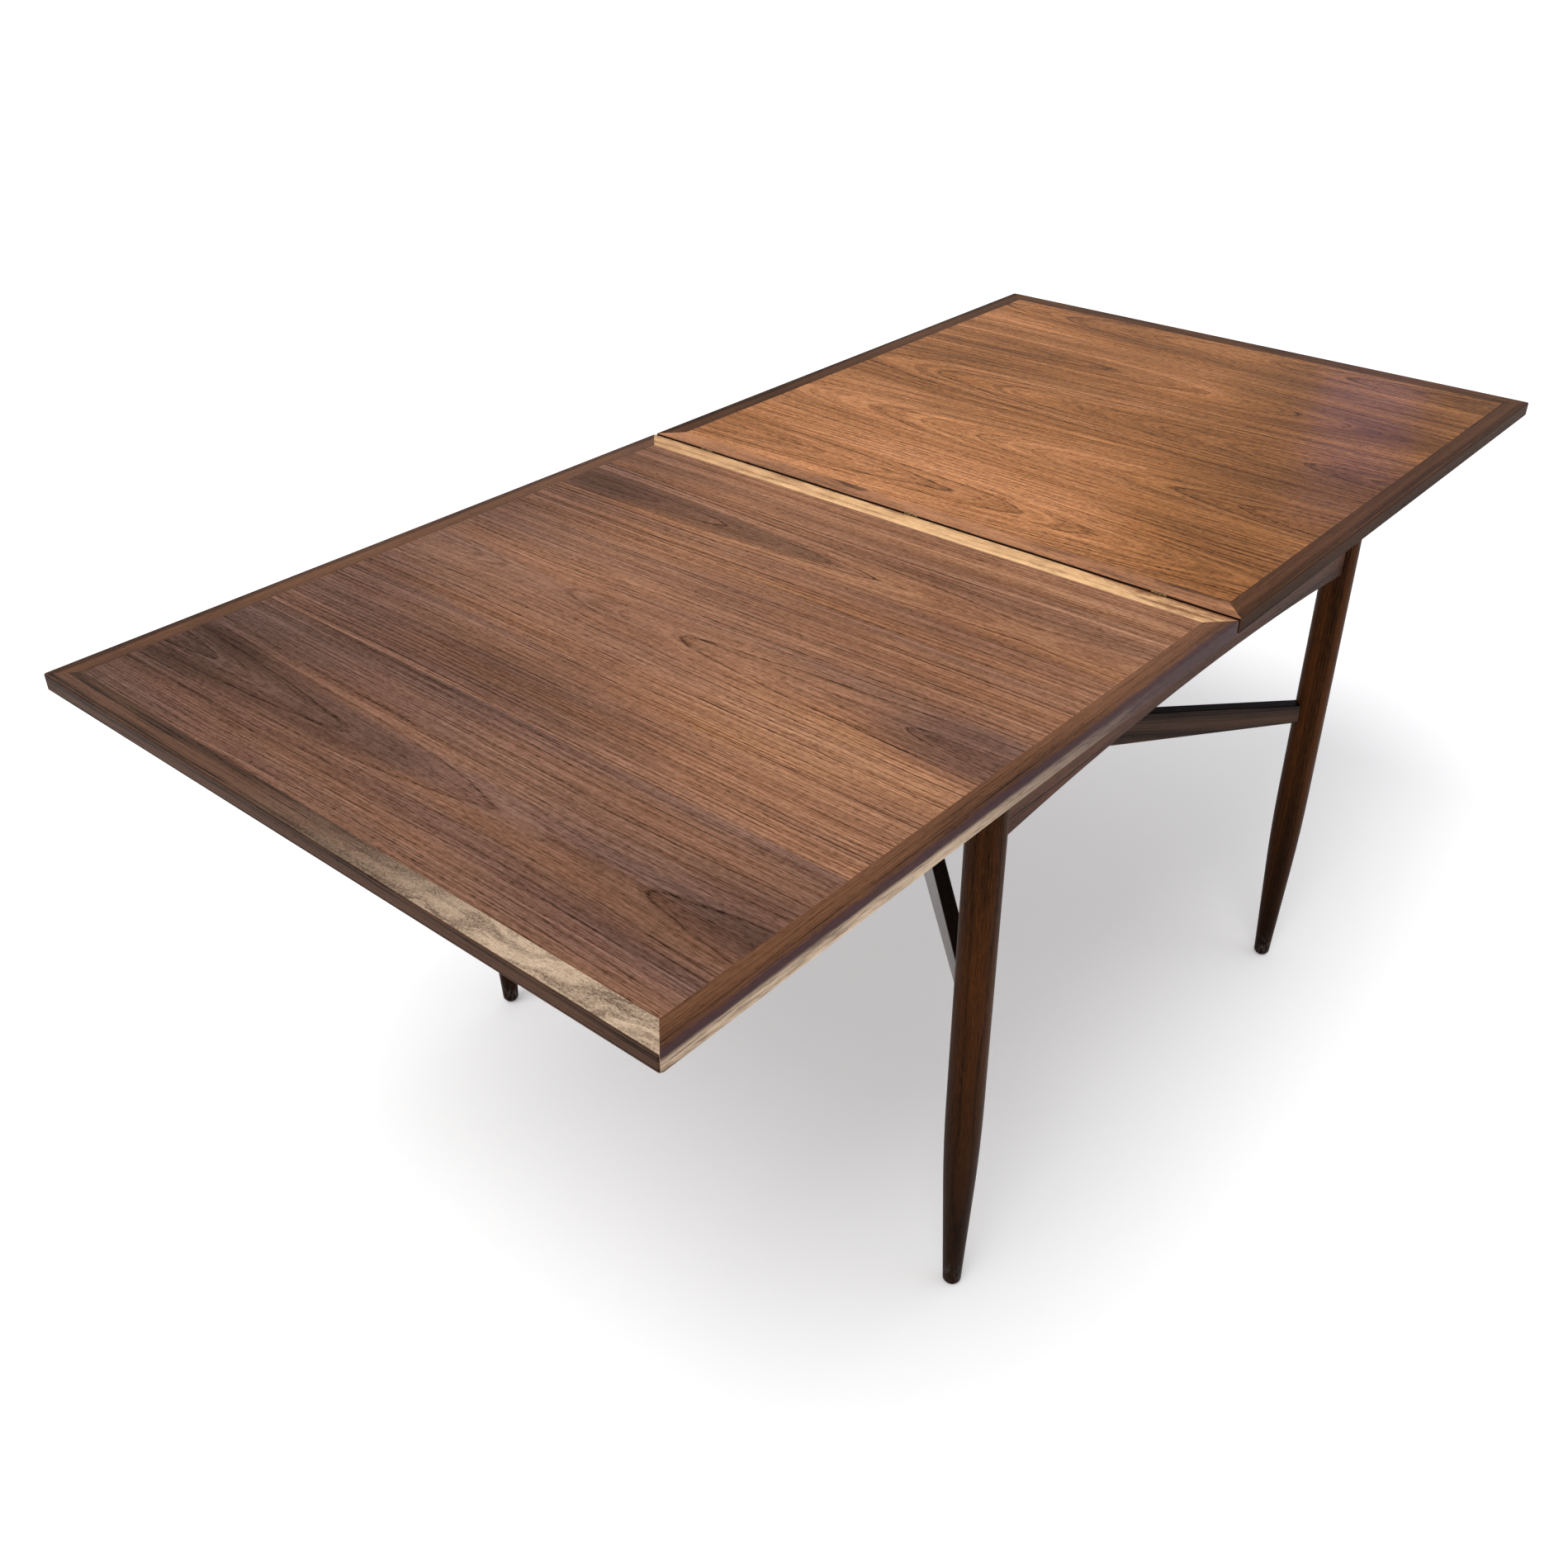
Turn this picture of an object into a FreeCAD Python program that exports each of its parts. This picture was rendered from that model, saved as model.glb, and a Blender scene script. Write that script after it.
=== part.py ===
import FreeCAD, Part
import math
import os

# A flip-top dining table, opened out flat. Millimetres, +Z up, with the origin on the floor under
# the middle of the base. +X runs along the opened top: the leaf that slides lies on the +X side of
# the hinge, the leaf that flips over on the -X side. +Y is the left side.

# Opened top
TABLE_HEIGHT = 737.0
TOP_WIDTH = 888.0
LEAF_LENGTH = 897.5
LEAF_THICKNESS = 18.0
HINGE_GAP = 5.0             # between the two leaves
FACE_VENEER = 0.8
BACK_VENEER = 0.8
LIPPING_WIDTH = 29.0
LEAF_CORNER_RADIUS = 4.0    # outer corners, seen from above
LEAF_ARRIS = 0.9            # rounding along the outer edges, above and below
HINGE_ARRIS = 0.5           # rounding along the hinge edge, above

# Legs and glides
LEG_END_OVERHANG = 44.75    # folded leaf's ends, beyond the leg axes
LEG_SIDE_OVERHANG = 49.0    # leaf's sides, beyond the leg axes
LEG_RADIUS = 20.9
FOOT_RADIUS = 10.8
FOOT_ROUNDING = 2.5
LEG_STRAIGHT_FROM = 290.0   # height where the taper has run out
LEG_TAPER_BLEND = 130.0     # height of the bend between the taper and the straight part
GLIDE_RADIUS = 8.6
GLIDE_HEIGHT = 4.0
GLIDE_BEVEL = 2.0           # height of the bevel round the glide's flat
GLIDE_FLAT_RADIUS = 6.4     # flat part of the glide, on the floor
GLIDE_NAIL_RADIUS = 1.5
GLIDE_NAIL_LENGTH = 18.0

# Aprons, with the felt that the leaves lie on
APRON_THICKNESS = 20.0
APRON_FACE_OFFSET = 11.0    # outer face, outside the leg axes
APRON_DEPTH = 61.5          # at the middle of its length
APRON_ARCH = 20.0           # extra depth at the leg axes
APRON_ARRIS = 1.5           # bevel along the arched lower edge
FELT_THICKNESS = 1.7
FELT_WIDTH = 12.0
FELT_LEG_SPACE = 8.0        # between a strip's end and the leg
LEAF_REST_CLEARANCE = 0.3   # between the felt and the leaves

# Crossed stretchers
STRETCHER_TOP = 438.0
STRETCHER_THICKNESS = 18.0
STRETCHER_LEG_DEPTH = 25.5
STRETCHER_CROSSING_DEPTH = 73.0
STRETCHER_ARRIS = 2.0
LAP_CLEARANCE = 0.1         # each side of the halved crossing

# Dowels, corner blocks and hanger bolts
GLUE_GAP = 0.05             # round a dowel, peg, nail or screw, and at a coped end
DOWEL_RADIUS = 5.0
DOWEL_IN_LEG = 16.0
DOWEL_IN_RAIL = 28.0        # depth in an apron or a stretcher
DOWEL_TOP_COVER = 7.0       # wood above the uppermost dowel
DOWEL_SPACE = 2.0           # wood between the dowels and the bolt that cross in a leg
BLOCK_SETBACK = 35.0        # from the aprons' inner corner to the block, along each apron
BLOCK_FOOT = 35.0           # length of the block's end on each apron
BLOCK_HEIGHT = 45.0
BOLT_RADIUS = 4.0
BOLT_IN_LEG = 16.0
BOLT_CLEARANCE = 0.3        # round the bolt, in its block
BOLT_TAIL = 3.0             # bolt showing past the nut
NUT_SIDES = 6
NUT_ACROSS_FLATS = 13.0
NUT_HEIGHT = 6.5

# Slide: grooved guide rails on the base, tongued runners under the sliding leaf
RAIL_PITCH = 460.0          # between the middles of the two rails
RAIL_WIDTH = 22.0
RAIL_HEIGHT = 40.0
RAIL_HOUSING = 8.0          # depth that a rail's end is let into an end apron
GROOVE_DROP = 14.0          # from the rail's top down to the groove
GROOVE_HEIGHT = 10.0
GROOVE_DEPTH = 9.0
RUNNER_THICKNESS = 18.0
RUNNER_TOE = 4.0            # runner below its tongue
RUN_CLEARANCE = 0.4         # round the tongue, and beside the runner
PEG_RADIUS = 4.0
PEG_SEAT = 8.0              # depth of the peg below the groove
PEG_END_SPACE = 6.0         # between a peg and the end apron
STOP_CLEARANCE = 0.3        # between the runner and a peg at the ends of the slide

# Wood screws
SCREW_RADIUS = 2.0
SCREW_HEAD_RADIUS = 4.0
SCREW_HEAD_HEIGHT = 2.6
SCREW_POINT = 4.0
SCREW_BITE = 10.0           # depth in the far piece
RUNNER_SCREW_COUNT = 4
RUNNER_SCREW_INSET = 25.0   # from a runner's end to its nearest screw
BLOCK_SCREW_SEAT = 10.0     # wood under the head of a corner block's screw

# Hinges in the gap between the leaves, with their pins at the level of the table top
HINGE_COUNT = 3
HINGE_SIDE_INSET = 99.0     # from the leaf's side to the middle of the nearest hinge
FOLDED_GAP = 0.3            # between the two leaves' faces when folded
HINGE_PIN_RADIUS = 0.8
HINGE_PIN_CLEARANCE = 0.05
HINGE_EYE_RADIUS = 1.6
HINGE_EYE_WIDTH = 9.0       # the middle eye, on the flip leaf
HINGE_SIDE_EYE_WIDTH = 5.0  # each of the two eyes on the sliding leaf
HINGE_RUN_CLEARANCE = 0.3   # between neighbouring eyes
HINGE_NECK_THICKNESS = 1.5  # upright neck under an eye
HINGE_PLATE_DROP = 3.0      # from the table top down to a plate
HINGE_PLATE_THICKNESS = 2.0
HINGE_PLATE_HEIGHT = 11.0
HINGE_PLATE_LENGTH = 46.0
HINGE_PLATE_FIT = 0.1       # round a plate, in its recess
HINGE_SCREW_PITCH = 30.0
HINGE_SCREW_RADIUS = 1.5
HINGE_SCREW_HEAD_RADIUS = 2.9
HINGE_SCREW_HEAD_HEIGHT = 1.5
HINGE_SCREW_LENGTH = 18.0

PICK_MARGIN = 0.05          # allowed when an edge is picked by its place

# Places that follow from the sizes above
LEAF_UNDERSIDE = TABLE_HEIGHT - LEAF_THICKNESS
APRON_TOP = LEAF_UNDERSIDE - LEAF_REST_CLEARANCE - FELT_THICKNESS
HINGE_EDGE = HINGE_GAP / 2
TOP_END = HINGE_EDGE + LEAF_LENGTH
TOP_SIDE = TOP_WIDTH / 2
LEG_X = LEAF_LENGTH / 2 - LEG_END_OVERHANG
LEG_Y = TOP_SIDE - LEG_SIDE_OVERHANG
APRON_MIDDLE = APRON_FACE_OFFSET - APRON_THICKNESS / 2
APRON_INNER_X = LEG_X + APRON_FACE_OFFSET - APRON_THICKNESS
APRON_INNER_Y = LEG_Y + APRON_FACE_OFFSET - APRON_THICKNESS
SLIDE_TRAVEL = HINGE_EDGE + LEAF_LENGTH / 2
PIN_Z = TABLE_HEIGHT + FOLDED_GAP / 2
KNUCKLE_WIDTH = HINGE_EYE_WIDTH + 2 * (HINGE_RUN_CLEARANCE + HINGE_SIDE_EYE_WIDTH)

# Heights of the dowels and the bolt, which cross in the leg one below the other
SIDE_DOWEL_UPPER = APRON_TOP - DOWEL_TOP_COVER - DOWEL_RADIUS
END_DOWEL_UPPER = SIDE_DOWEL_UPPER - 2 * DOWEL_RADIUS - DOWEL_SPACE
BOLT_Z = END_DOWEL_UPPER - DOWEL_RADIUS - DOWEL_SPACE - BOLT_RADIUS
SIDE_DOWEL_LOWER = BOLT_Z - BOLT_RADIUS - DOWEL_SPACE - DOWEL_RADIUS
END_DOWEL_LOWER = SIDE_DOWEL_LOWER - 2 * DOWEL_RADIUS - DOWEL_SPACE
STRETCHER_DOWEL_Z = STRETCHER_TOP - STRETCHER_LEG_DEPTH / 2

V = FreeCAD.Vector
ORIGIN = V(0, 0, 0)
ALONG_X = V(1, 0, 0)
ALONG_Y = V(0, 1, 0)
UP = V(0, 0, 1)
DIAGONAL_IN = V(-1, -1, 0)

# Each corner of the base, by its name and the signs of its X and Y
CORNERS = {
    "flip_end_left": (-1, 1),
    "flip_end_right": (-1, -1),
    "slide_end_left": (1, 1),
    "slide_end_right": (1, -1),
}


def box(x0, x1, y0, y1, z0, z1):
    """A box between two corners."""
    return Part.makeBox(x1 - x0, y1 - y0, z1 - z0, V(x0, y0, z0))


def rod(start, direction, length, radius):
    """A round rod from a start point."""
    return Part.makeCylinder(radius, length, start, direction)


def prism(points, z0, z1):
    """A straight-sided prism over a plan outline of (x, y) points."""
    corners = [V(x, y, z0) for x, y in points]
    face = Part.Face(Part.makePolygon(corners + corners[:1]))
    return face.extrude(V(0, 0, z1 - z0))


def mirror_x(shape):
    return shape.mirror(ORIGIN, ALONG_X)


def mirror_y(shape):
    return shape.mirror(ORIGIN, ALONG_Y)


def to_corner(shape, sign_x, sign_y):
    """Carry a piece made for the +X, +Y corner to another corner."""
    if sign_x < 0:
        shape = mirror_x(shape)
    if sign_y < 0:
        shape = mirror_y(shape)
    return shape


def cut_all(shape, tools):
    for tool in tools:
        shape = shape.cut(tool)
    return shape


def turned(outline, start, direction):
    """Revolve an outline of (radius, distance) points about an axis through start."""
    corners = [V(radius, 0, distance) for radius, distance in outline]
    face = Part.Face(Part.makePolygon(corners + corners[:1]))
    solid = face.revolve(ORIGIN, UP, 360)
    solid.Placement = FreeCAD.Placement(start, FreeCAD.Rotation(UP, direction))
    return solid


def screw(start, direction, length, radius, head_radius, head_height, gap=0.0):
    """A countersunk screw with its head's face at start; a gap gives its hole instead."""
    outline = [
        (0, -gap),
        (head_radius + gap, -gap),
        (head_radius + gap, 0),
        (radius + gap, head_height),
        (radius + gap, length - SCREW_POINT),
        (0, length + gap),
    ]
    return turned(outline, start, direction)


def wood_screw(start, direction, length, gap=0.0):
    return screw(start, direction, length, SCREW_RADIUS, SCREW_HEAD_RADIUS, SCREW_HEAD_HEIGHT, gap)


def hinge_screw(start, direction, gap=0.0):
    return screw(start, direction, HINGE_SCREW_LENGTH, HINGE_SCREW_RADIUS,
                 HINGE_SCREW_HEAD_RADIUS, HINGE_SCREW_HEAD_HEIGHT, gap)


def write(node, *solids):
    """Write one node, with all its solids."""
    shapes = []
    for solid in solids:
        shapes.extend(solid.Solids)
    shape = shapes[0] if len(shapes) == 1 else Part.makeCompound(shapes)
    shape.exportStep("parts/" + node + ".step")


# Leaves. Each is made as the sliding leaf; the flip leaf is its mirror image.

def leaf_outline():
    """Plan outline of a leaf at its underside, with two rounded corners."""
    z = LEAF_UNDERSIDE
    near = TOP_END - LEAF_CORNER_RADIUS
    side = TOP_SIDE - LEAF_CORNER_RADIUS
    arc_x = near + LEAF_CORNER_RADIUS * math.sqrt(0.5)
    arc_y = side + LEAF_CORNER_RADIUS * math.sqrt(0.5)
    edges = [
        Part.makeLine(V(HINGE_EDGE, -TOP_SIDE, z), V(near, -TOP_SIDE, z)),
        Part.Arc(V(near, -TOP_SIDE, z), V(arc_x, -arc_y, z), V(TOP_END, -side, z)).toShape(),
        Part.makeLine(V(TOP_END, -side, z), V(TOP_END, side, z)),
        Part.Arc(V(TOP_END, side, z), V(arc_x, arc_y, z), V(near, TOP_SIDE, z)).toShape(),
        Part.makeLine(V(near, TOP_SIDE, z), V(HINGE_EDGE, TOP_SIDE, z)),
        Part.makeLine(V(HINGE_EDGE, TOP_SIDE, z), V(HINGE_EDGE, -TOP_SIDE, z)),
    ]
    return Part.Wire(edges)


def level_edges(blank, z, x0, x1):
    """Level edges of a leaf at height z whose far end lies between two values of X."""
    chosen = []
    for edge in blank.Edges:
        bounds = edge.BoundBox
        level = max(abs(bounds.ZMin - z), abs(bounds.ZMax - z)) < PICK_MARGIN
        if level and x0 - PICK_MARGIN < bounds.XMax < x1 + PICK_MARGIN:
            chosen.append(edge)
    return chosen


def leaf_blank():
    """A whole leaf, with square edges and small arrises."""
    blank = Part.Face(leaf_outline()).extrude(V(0, 0, LEAF_THICKNESS))
    hinge_edges = level_edges(blank, TABLE_HEIGHT, HINGE_EDGE, HINGE_EDGE + HINGE_ARRIS)
    blank = blank.makeFillet(HINGE_ARRIS, hinge_edges)
    for z in (TABLE_HEIGHT, LEAF_UNDERSIDE):
        blank = blank.makeFillet(LEAF_ARRIS, level_edges(blank, z, TOP_END / 2, TOP_END))
    return blank


def hinge_places():
    """Y of the middle of each hinge."""
    first = HINGE_SIDE_INSET - TOP_SIDE
    pitch = -2 * first / (HINGE_COUNT - 1)
    return [first + index * pitch for index in range(HINGE_COUNT)]


PLATE_TOP = TABLE_HEIGHT - HINGE_PLATE_DROP
PLATE_BACK = HINGE_EDGE + HINGE_PLATE_THICKNESS
PLATE_MIDDLE = PLATE_TOP - HINGE_PLATE_HEIGHT / 2


def plate_screw_points(middle):
    half = HINGE_SCREW_PITCH / 2
    return [V(HINGE_EDGE, middle - half, PLATE_MIDDLE), V(HINGE_EDGE, middle + half, PLATE_MIDDLE)]


def hinge_recesses():
    """What is cut out of a leaf's hinge edge for its plates and their screws."""
    fit = HINGE_PLATE_FIT
    half_plate = HINGE_PLATE_LENGTH / 2 + fit
    tools = []
    for middle in hinge_places():
        tools.append(box(0, PLATE_BACK + fit, middle - half_plate, middle + half_plate,
                         PLATE_TOP - HINGE_PLATE_HEIGHT - fit, PLATE_TOP + fit))
        for point in plate_screw_points(middle):
            tools.append(hinge_screw(point, ALONG_X, GLUE_GAP))
    return tools


def leaf_lippings():
    """The four lippings of a leaf, parted by mitres."""
    blank = leaf_blank()
    near = HINGE_EDGE + LIPPING_WIDTH
    far = TOP_END - LIPPING_WIDTH
    side = TOP_SIDE - LIPPING_WIDTH
    plans = {
        "hinge_lipping": [(HINGE_EDGE, -TOP_SIDE), (near, -side), (near, side), (HINGE_EDGE, TOP_SIDE)],
        "end_lipping": [(TOP_END, -TOP_SIDE), (TOP_END, TOP_SIDE), (far, side), (far, -side)],
        "left_lipping": [(HINGE_EDGE, TOP_SIDE), (near, side), (far, side), (TOP_END, TOP_SIDE)],
        "right_lipping": [(HINGE_EDGE, -TOP_SIDE), (TOP_END, -TOP_SIDE), (far, -side), (near, -side)],
    }
    lippings = {}
    for name, plan in plans.items():
        lippings[name] = blank.common(prism(plan, LEAF_UNDERSIDE, TABLE_HEIGHT))
    lippings["hinge_lipping"] = cut_all(lippings["hinge_lipping"], hinge_recesses())
    return lippings


def leaf_panel():
    """Core board, face veneer and back veneer inside the lippings."""
    near = HINGE_EDGE + LIPPING_WIDTH
    far = TOP_END - LIPPING_WIDTH
    side = TOP_SIDE - LIPPING_WIDTH
    core_bottom = LEAF_UNDERSIDE + BACK_VENEER
    core_top = TABLE_HEIGHT - FACE_VENEER
    return {
        "core": box(near, far, -side, side, core_bottom, core_top),
        "face_veneer": box(near, far, -side, side, core_top, TABLE_HEIGHT),
        "back_veneer": box(near, far, -side, side, LEAF_UNDERSIDE, core_bottom),
    }


# Where each leaf has its eyes along a hinge, as (start, width) from the hinge's middle
OUTER_EYES = [(-KNUCKLE_WIDTH / 2, HINGE_SIDE_EYE_WIDTH),
              (KNUCKLE_WIDTH / 2 - HINGE_SIDE_EYE_WIDTH, HINGE_SIDE_EYE_WIDTH)]
MIDDLE_EYE = [(-HINGE_EYE_WIDTH / 2, HINGE_EYE_WIDTH)]


def hinge_plate(middle, eyes):
    """One edge plate, with its eyes on cranked necks that stand in the gap."""
    half_plate = HINGE_PLATE_LENGTH / 2
    lug_bottom = PLATE_TOP - HINGE_PLATE_THICKNESS
    plate = box(HINGE_EDGE, PLATE_BACK, middle - half_plate, middle + half_plate,
                PLATE_TOP - HINGE_PLATE_HEIGHT, PLATE_TOP)
    holes = [hinge_screw(point, ALONG_X, GLUE_GAP) for point in plate_screw_points(middle)]
    for start, width in eyes:
        y0 = middle + start
        pin_start = V(0, y0, PIN_Z)
        plate = plate.fuse(box(0, PLATE_BACK, y0, y0 + width, lug_bottom, PLATE_TOP))
        plate = plate.fuse(box(0, HINGE_NECK_THICKNESS, y0, y0 + width, lug_bottom, PIN_Z))
        plate = plate.fuse(rod(pin_start, ALONG_Y, width, HINGE_EYE_RADIUS))
        holes.append(rod(pin_start, ALONG_Y, width, HINGE_PIN_RADIUS + HINGE_PIN_CLEARANCE))
    return cut_all(plate.removeSplitter(), holes)


def hinge_plates(eyes):
    return [hinge_plate(middle, eyes) for middle in hinge_places()]


def hinge_plate_screws():
    return [hinge_screw(point, ALONG_X) for middle in hinge_places() for point in plate_screw_points(middle)]


def hinge_pins():
    half = KNUCKLE_WIDTH / 2
    return [rod(V(0, middle - half, PIN_Z), ALONG_Y, KNUCKLE_WIDTH, HINGE_PIN_RADIUS)
            for middle in hinge_places()]


# Slide. The rail, runner, pegs and screws are made for the left side.

RAIL_INNER = (RAIL_PITCH - RAIL_WIDTH) / 2
GROOVE_TOP = APRON_TOP - GROOVE_DROP
GROOVE_BOTTOM = GROOVE_TOP - GROOVE_HEIGHT
PEG_X = APRON_INNER_X - PEG_END_SPACE - PEG_RADIUS
RUNNER_END = PEG_X - PEG_RADIUS - STOP_CLEARANCE
RUNNER_START = SLIDE_TRAVEL - RUNNER_END
RUNNER_BOTTOM = GROOVE_BOTTOM - RUNNER_TOE
RUNNER_OUTER = RAIL_INNER - RUN_CLEARANCE
RUNNER_INNER = RUNNER_OUTER - RUNNER_THICKNESS


def stop_peg(sign_x, gap=0.0):
    """A peg across the end of the groove, which the runner's tongue meets."""
    length = GROOVE_DROP + GROOVE_HEIGHT + PEG_SEAT + gap
    start = V(sign_x * PEG_X, RAIL_INNER + GROOVE_DEPTH / 2, APRON_TOP)
    return rod(start, -UP, length, PEG_RADIUS + gap)


def rail_blank(gap=0.0):
    reach = APRON_INNER_X + RAIL_HOUSING + gap
    return box(-reach, reach, RAIL_INNER - gap, RAIL_INNER + RAIL_WIDTH + gap,
               APRON_TOP - RAIL_HEIGHT - gap, APRON_TOP)


def guide_rail():
    reach = APRON_INNER_X
    groove = box(-reach, reach, RAIL_INNER, RAIL_INNER + GROOVE_DEPTH, GROOVE_BOTTOM, GROOVE_TOP)
    rail = rail_blank().cut(groove)
    return cut_all(rail, [stop_peg(sign_x, GLUE_GAP) for sign_x in (-1, 1)])


def runner_screw_points():
    """Where the runner's screws enter it from below."""
    first = RUNNER_START + RUNNER_SCREW_INSET
    last = RUNNER_END - RUNNER_SCREW_INSET
    step = (last - first) / (RUNNER_SCREW_COUNT - 1)
    middle_y = (RUNNER_INNER + RUNNER_OUTER) / 2
    return [V(first + index * step, middle_y, RUNNER_BOTTOM) for index in range(RUNNER_SCREW_COUNT)]


def runner_screws(gap=0.0):
    length = LEAF_UNDERSIDE - RUNNER_BOTTOM + SCREW_BITE
    return [wood_screw(point, UP, length, gap) for point in runner_screw_points()]


def runner():
    """A bar under the sliding leaf with a tongue in the rail's groove."""
    web = box(RUNNER_START, RUNNER_END, RUNNER_INNER, RUNNER_OUTER, RUNNER_BOTTOM, LEAF_UNDERSIDE)
    tongue = box(RUNNER_START, RUNNER_END, RUNNER_INNER, RAIL_INNER + GROOVE_DEPTH - RUN_CLEARANCE,
                 GROOVE_BOTTOM + RUN_CLEARANCE, GROOVE_TOP - RUN_CLEARANCE)
    return cut_all(web.fuse(tongue).removeSplitter(), runner_screws(GLUE_GAP))


# Base. Each piece is made for the +X, +Y corner, the left side or the +X end, and mirrored.

LEG_POINT = V(LEG_X, LEG_Y, 0)
STRETCHER_IN = V(-LEG_X, -LEG_Y, 0).normalize()


def dowel(direction, height, across, gap=0.0):
    """A dowel from inside the leg along a rail; across moves it off the leg axis."""
    start = LEG_POINT + across + V(0, 0, height) + direction * (LEG_RADIUS - DOWEL_IN_LEG - gap)
    return rod(start, direction, DOWEL_IN_LEG + DOWEL_IN_RAIL + 2 * gap, DOWEL_RADIUS + gap)


def side_dowels(gap=0.0):
    across = ALONG_Y * APRON_MIDDLE
    return [dowel(-ALONG_X, height, across, gap) for height in (SIDE_DOWEL_UPPER, SIDE_DOWEL_LOWER)]


def end_dowels(gap=0.0):
    across = ALONG_X * APRON_MIDDLE
    return [dowel(-ALONG_Y, height, across, gap) for height in (END_DOWEL_UPPER, END_DOWEL_LOWER)]


def stretcher_dowel(gap=0.0):
    return dowel(STRETCHER_IN, STRETCHER_DOWEL_Z, ORIGIN, gap)


def leg_cope():
    """The round that an apron's or stretcher's end is shaped to."""
    return rod(LEG_POINT, UP, APRON_TOP, LEG_RADIUS + GLUE_GAP)


# Distances along the corner's diagonal, from the leg axis
APRON_INSET = APRON_THICKNESS - APRON_FACE_OFFSET
BLOCK_BACK = (2 * APRON_INSET + BLOCK_SETBACK + BLOCK_FOOT) / math.sqrt(2)
BOLT_START = LEG_RADIUS - BOLT_IN_LEG


def hanger_bolt(gap=0.0):
    direction = V(DIAGONAL_IN).normalize()
    start = LEG_POINT + V(0, 0, BOLT_Z) + direction * (BOLT_START - gap)
    length = BLOCK_BACK + NUT_HEIGHT + BOLT_TAIL - BOLT_START + gap
    return rod(start, direction, length, BOLT_RADIUS + gap)


def bolt_nut():
    direction = V(DIAGONAL_IN).normalize()
    turn = 2 * math.pi / NUT_SIDES
    radius = NUT_ACROSS_FLATS / 2 / math.cos(turn / 2)
    corners = []
    for index in range(NUT_SIDES):
        angle = index * turn
        corners.append(V(radius * math.cos(angle), radius * math.sin(angle), 0))
    nut = Part.Face(Part.makePolygon(corners + corners[:1])).extrude(V(0, 0, NUT_HEIGHT))
    start = LEG_POINT + V(0, 0, BOLT_Z) + direction * BLOCK_BACK
    nut.Placement = FreeCAD.Placement(start, FreeCAD.Rotation(UP, direction))
    return nut.cut(hanger_bolt(GLUE_GAP))


def glide_nail(gap=0.0):
    start = LEG_POINT + V(0, 0, GLIDE_BEVEL)
    length = GLIDE_HEIGHT - GLIDE_BEVEL + GLIDE_NAIL_LENGTH + gap
    return rod(start, UP, length, GLIDE_NAIL_RADIUS + gap)


def foot_glide():
    """A nailed glide with a flat on the floor."""
    outline = [(0, 0), (GLIDE_FLAT_RADIUS, 0), (GLIDE_RADIUS, GLIDE_BEVEL),
               (GLIDE_RADIUS, GLIDE_HEIGHT), (0, GLIDE_HEIGHT)]
    return turned(outline, LEG_POINT, UP).fuse(glide_nail()).removeSplitter()


def leg():
    """A turned leg: a straight taper that bends into an upright upper part."""
    line_height = LEG_STRAIGHT_FROM - LEG_TAPER_BLEND - GLIDE_HEIGHT
    slope = math.atan((LEG_RADIUS - FOOT_RADIUS) / (line_height + LEG_TAPER_BLEND / 2))
    bend_radius = LEG_TAPER_BLEND / math.sin(slope)
    bend_axis = LEG_RADIUS - bend_radius

    def on_bend(angle):
        return V(bend_axis + bend_radius * math.cos(angle), 0,
                 LEG_STRAIGHT_FROM - bend_radius * math.sin(angle))

    foot = V(FOOT_RADIUS, 0, GLIDE_HEIGHT)
    head = V(LEG_RADIUS, 0, APRON_TOP)
    edges = [
        Part.makeLine(V(0, 0, GLIDE_HEIGHT), foot),
        Part.makeLine(foot, on_bend(slope)),
        Part.Arc(on_bend(slope), on_bend(slope / 2), on_bend(0)).toShape(),
        Part.makeLine(on_bend(0), head),
        Part.makeLine(head, V(0, 0, APRON_TOP)),
        Part.makeLine(V(0, 0, APRON_TOP), V(0, 0, GLIDE_HEIGHT)),
    ]
    blank = Part.Face(Part.Wire(edges)).revolve(ORIGIN, UP, 360)
    rims = [edge for edge in blank.Edges
            if edge.BoundBox.ZMax < GLIDE_HEIGHT + PICK_MARGIN and edge.BoundBox.XLength > FOOT_RADIUS]
    blank = blank.makeFillet(FOOT_ROUNDING, rims)
    blank.translate(LEG_POINT)
    holes = side_dowels(GLUE_GAP) + end_dowels(GLUE_GAP)
    holes += [stretcher_dowel(GLUE_GAP), hanger_bolt(GLUE_GAP), glide_nail(GLUE_GAP)]
    return cut_all(blank, holes)


def apron_blank(half_length):
    """An arched board along X, its outer face at Y = 0, before its ends are coped."""
    middle = APRON_TOP - APRON_DEPTH
    end = middle - APRON_ARCH
    edges = [
        Part.makeLine(V(-half_length, 0, end), V(-half_length, 0, APRON_TOP)),
        Part.makeLine(V(-half_length, 0, APRON_TOP), V(half_length, 0, APRON_TOP)),
        Part.makeLine(V(half_length, 0, APRON_TOP), V(half_length, 0, end)),
        Part.Arc(V(half_length, 0, end), V(0, 0, middle), V(-half_length, 0, end)).toShape(),
    ]
    board = Part.Face(Part.Wire(edges)).extrude(V(0, -APRON_THICKNESS, 0))
    arched = [edge for edge in board.Edges
              if edge.BoundBox.XLength > half_length and edge.BoundBox.ZMax < APRON_TOP - APRON_DEPTH / 2]
    return board.makeChamfer(APRON_ARRIS, arched)


def side_apron():
    board = apron_blank(LEG_X)
    board.translate(V(0, LEG_Y + APRON_FACE_OFFSET, 0))
    tools = [leg_cope()] + side_dowels(GLUE_GAP) + block_side_screws(GLUE_GAP)
    tools += [mirror_x(tool) for tool in tools]
    return cut_all(board, tools)


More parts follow.
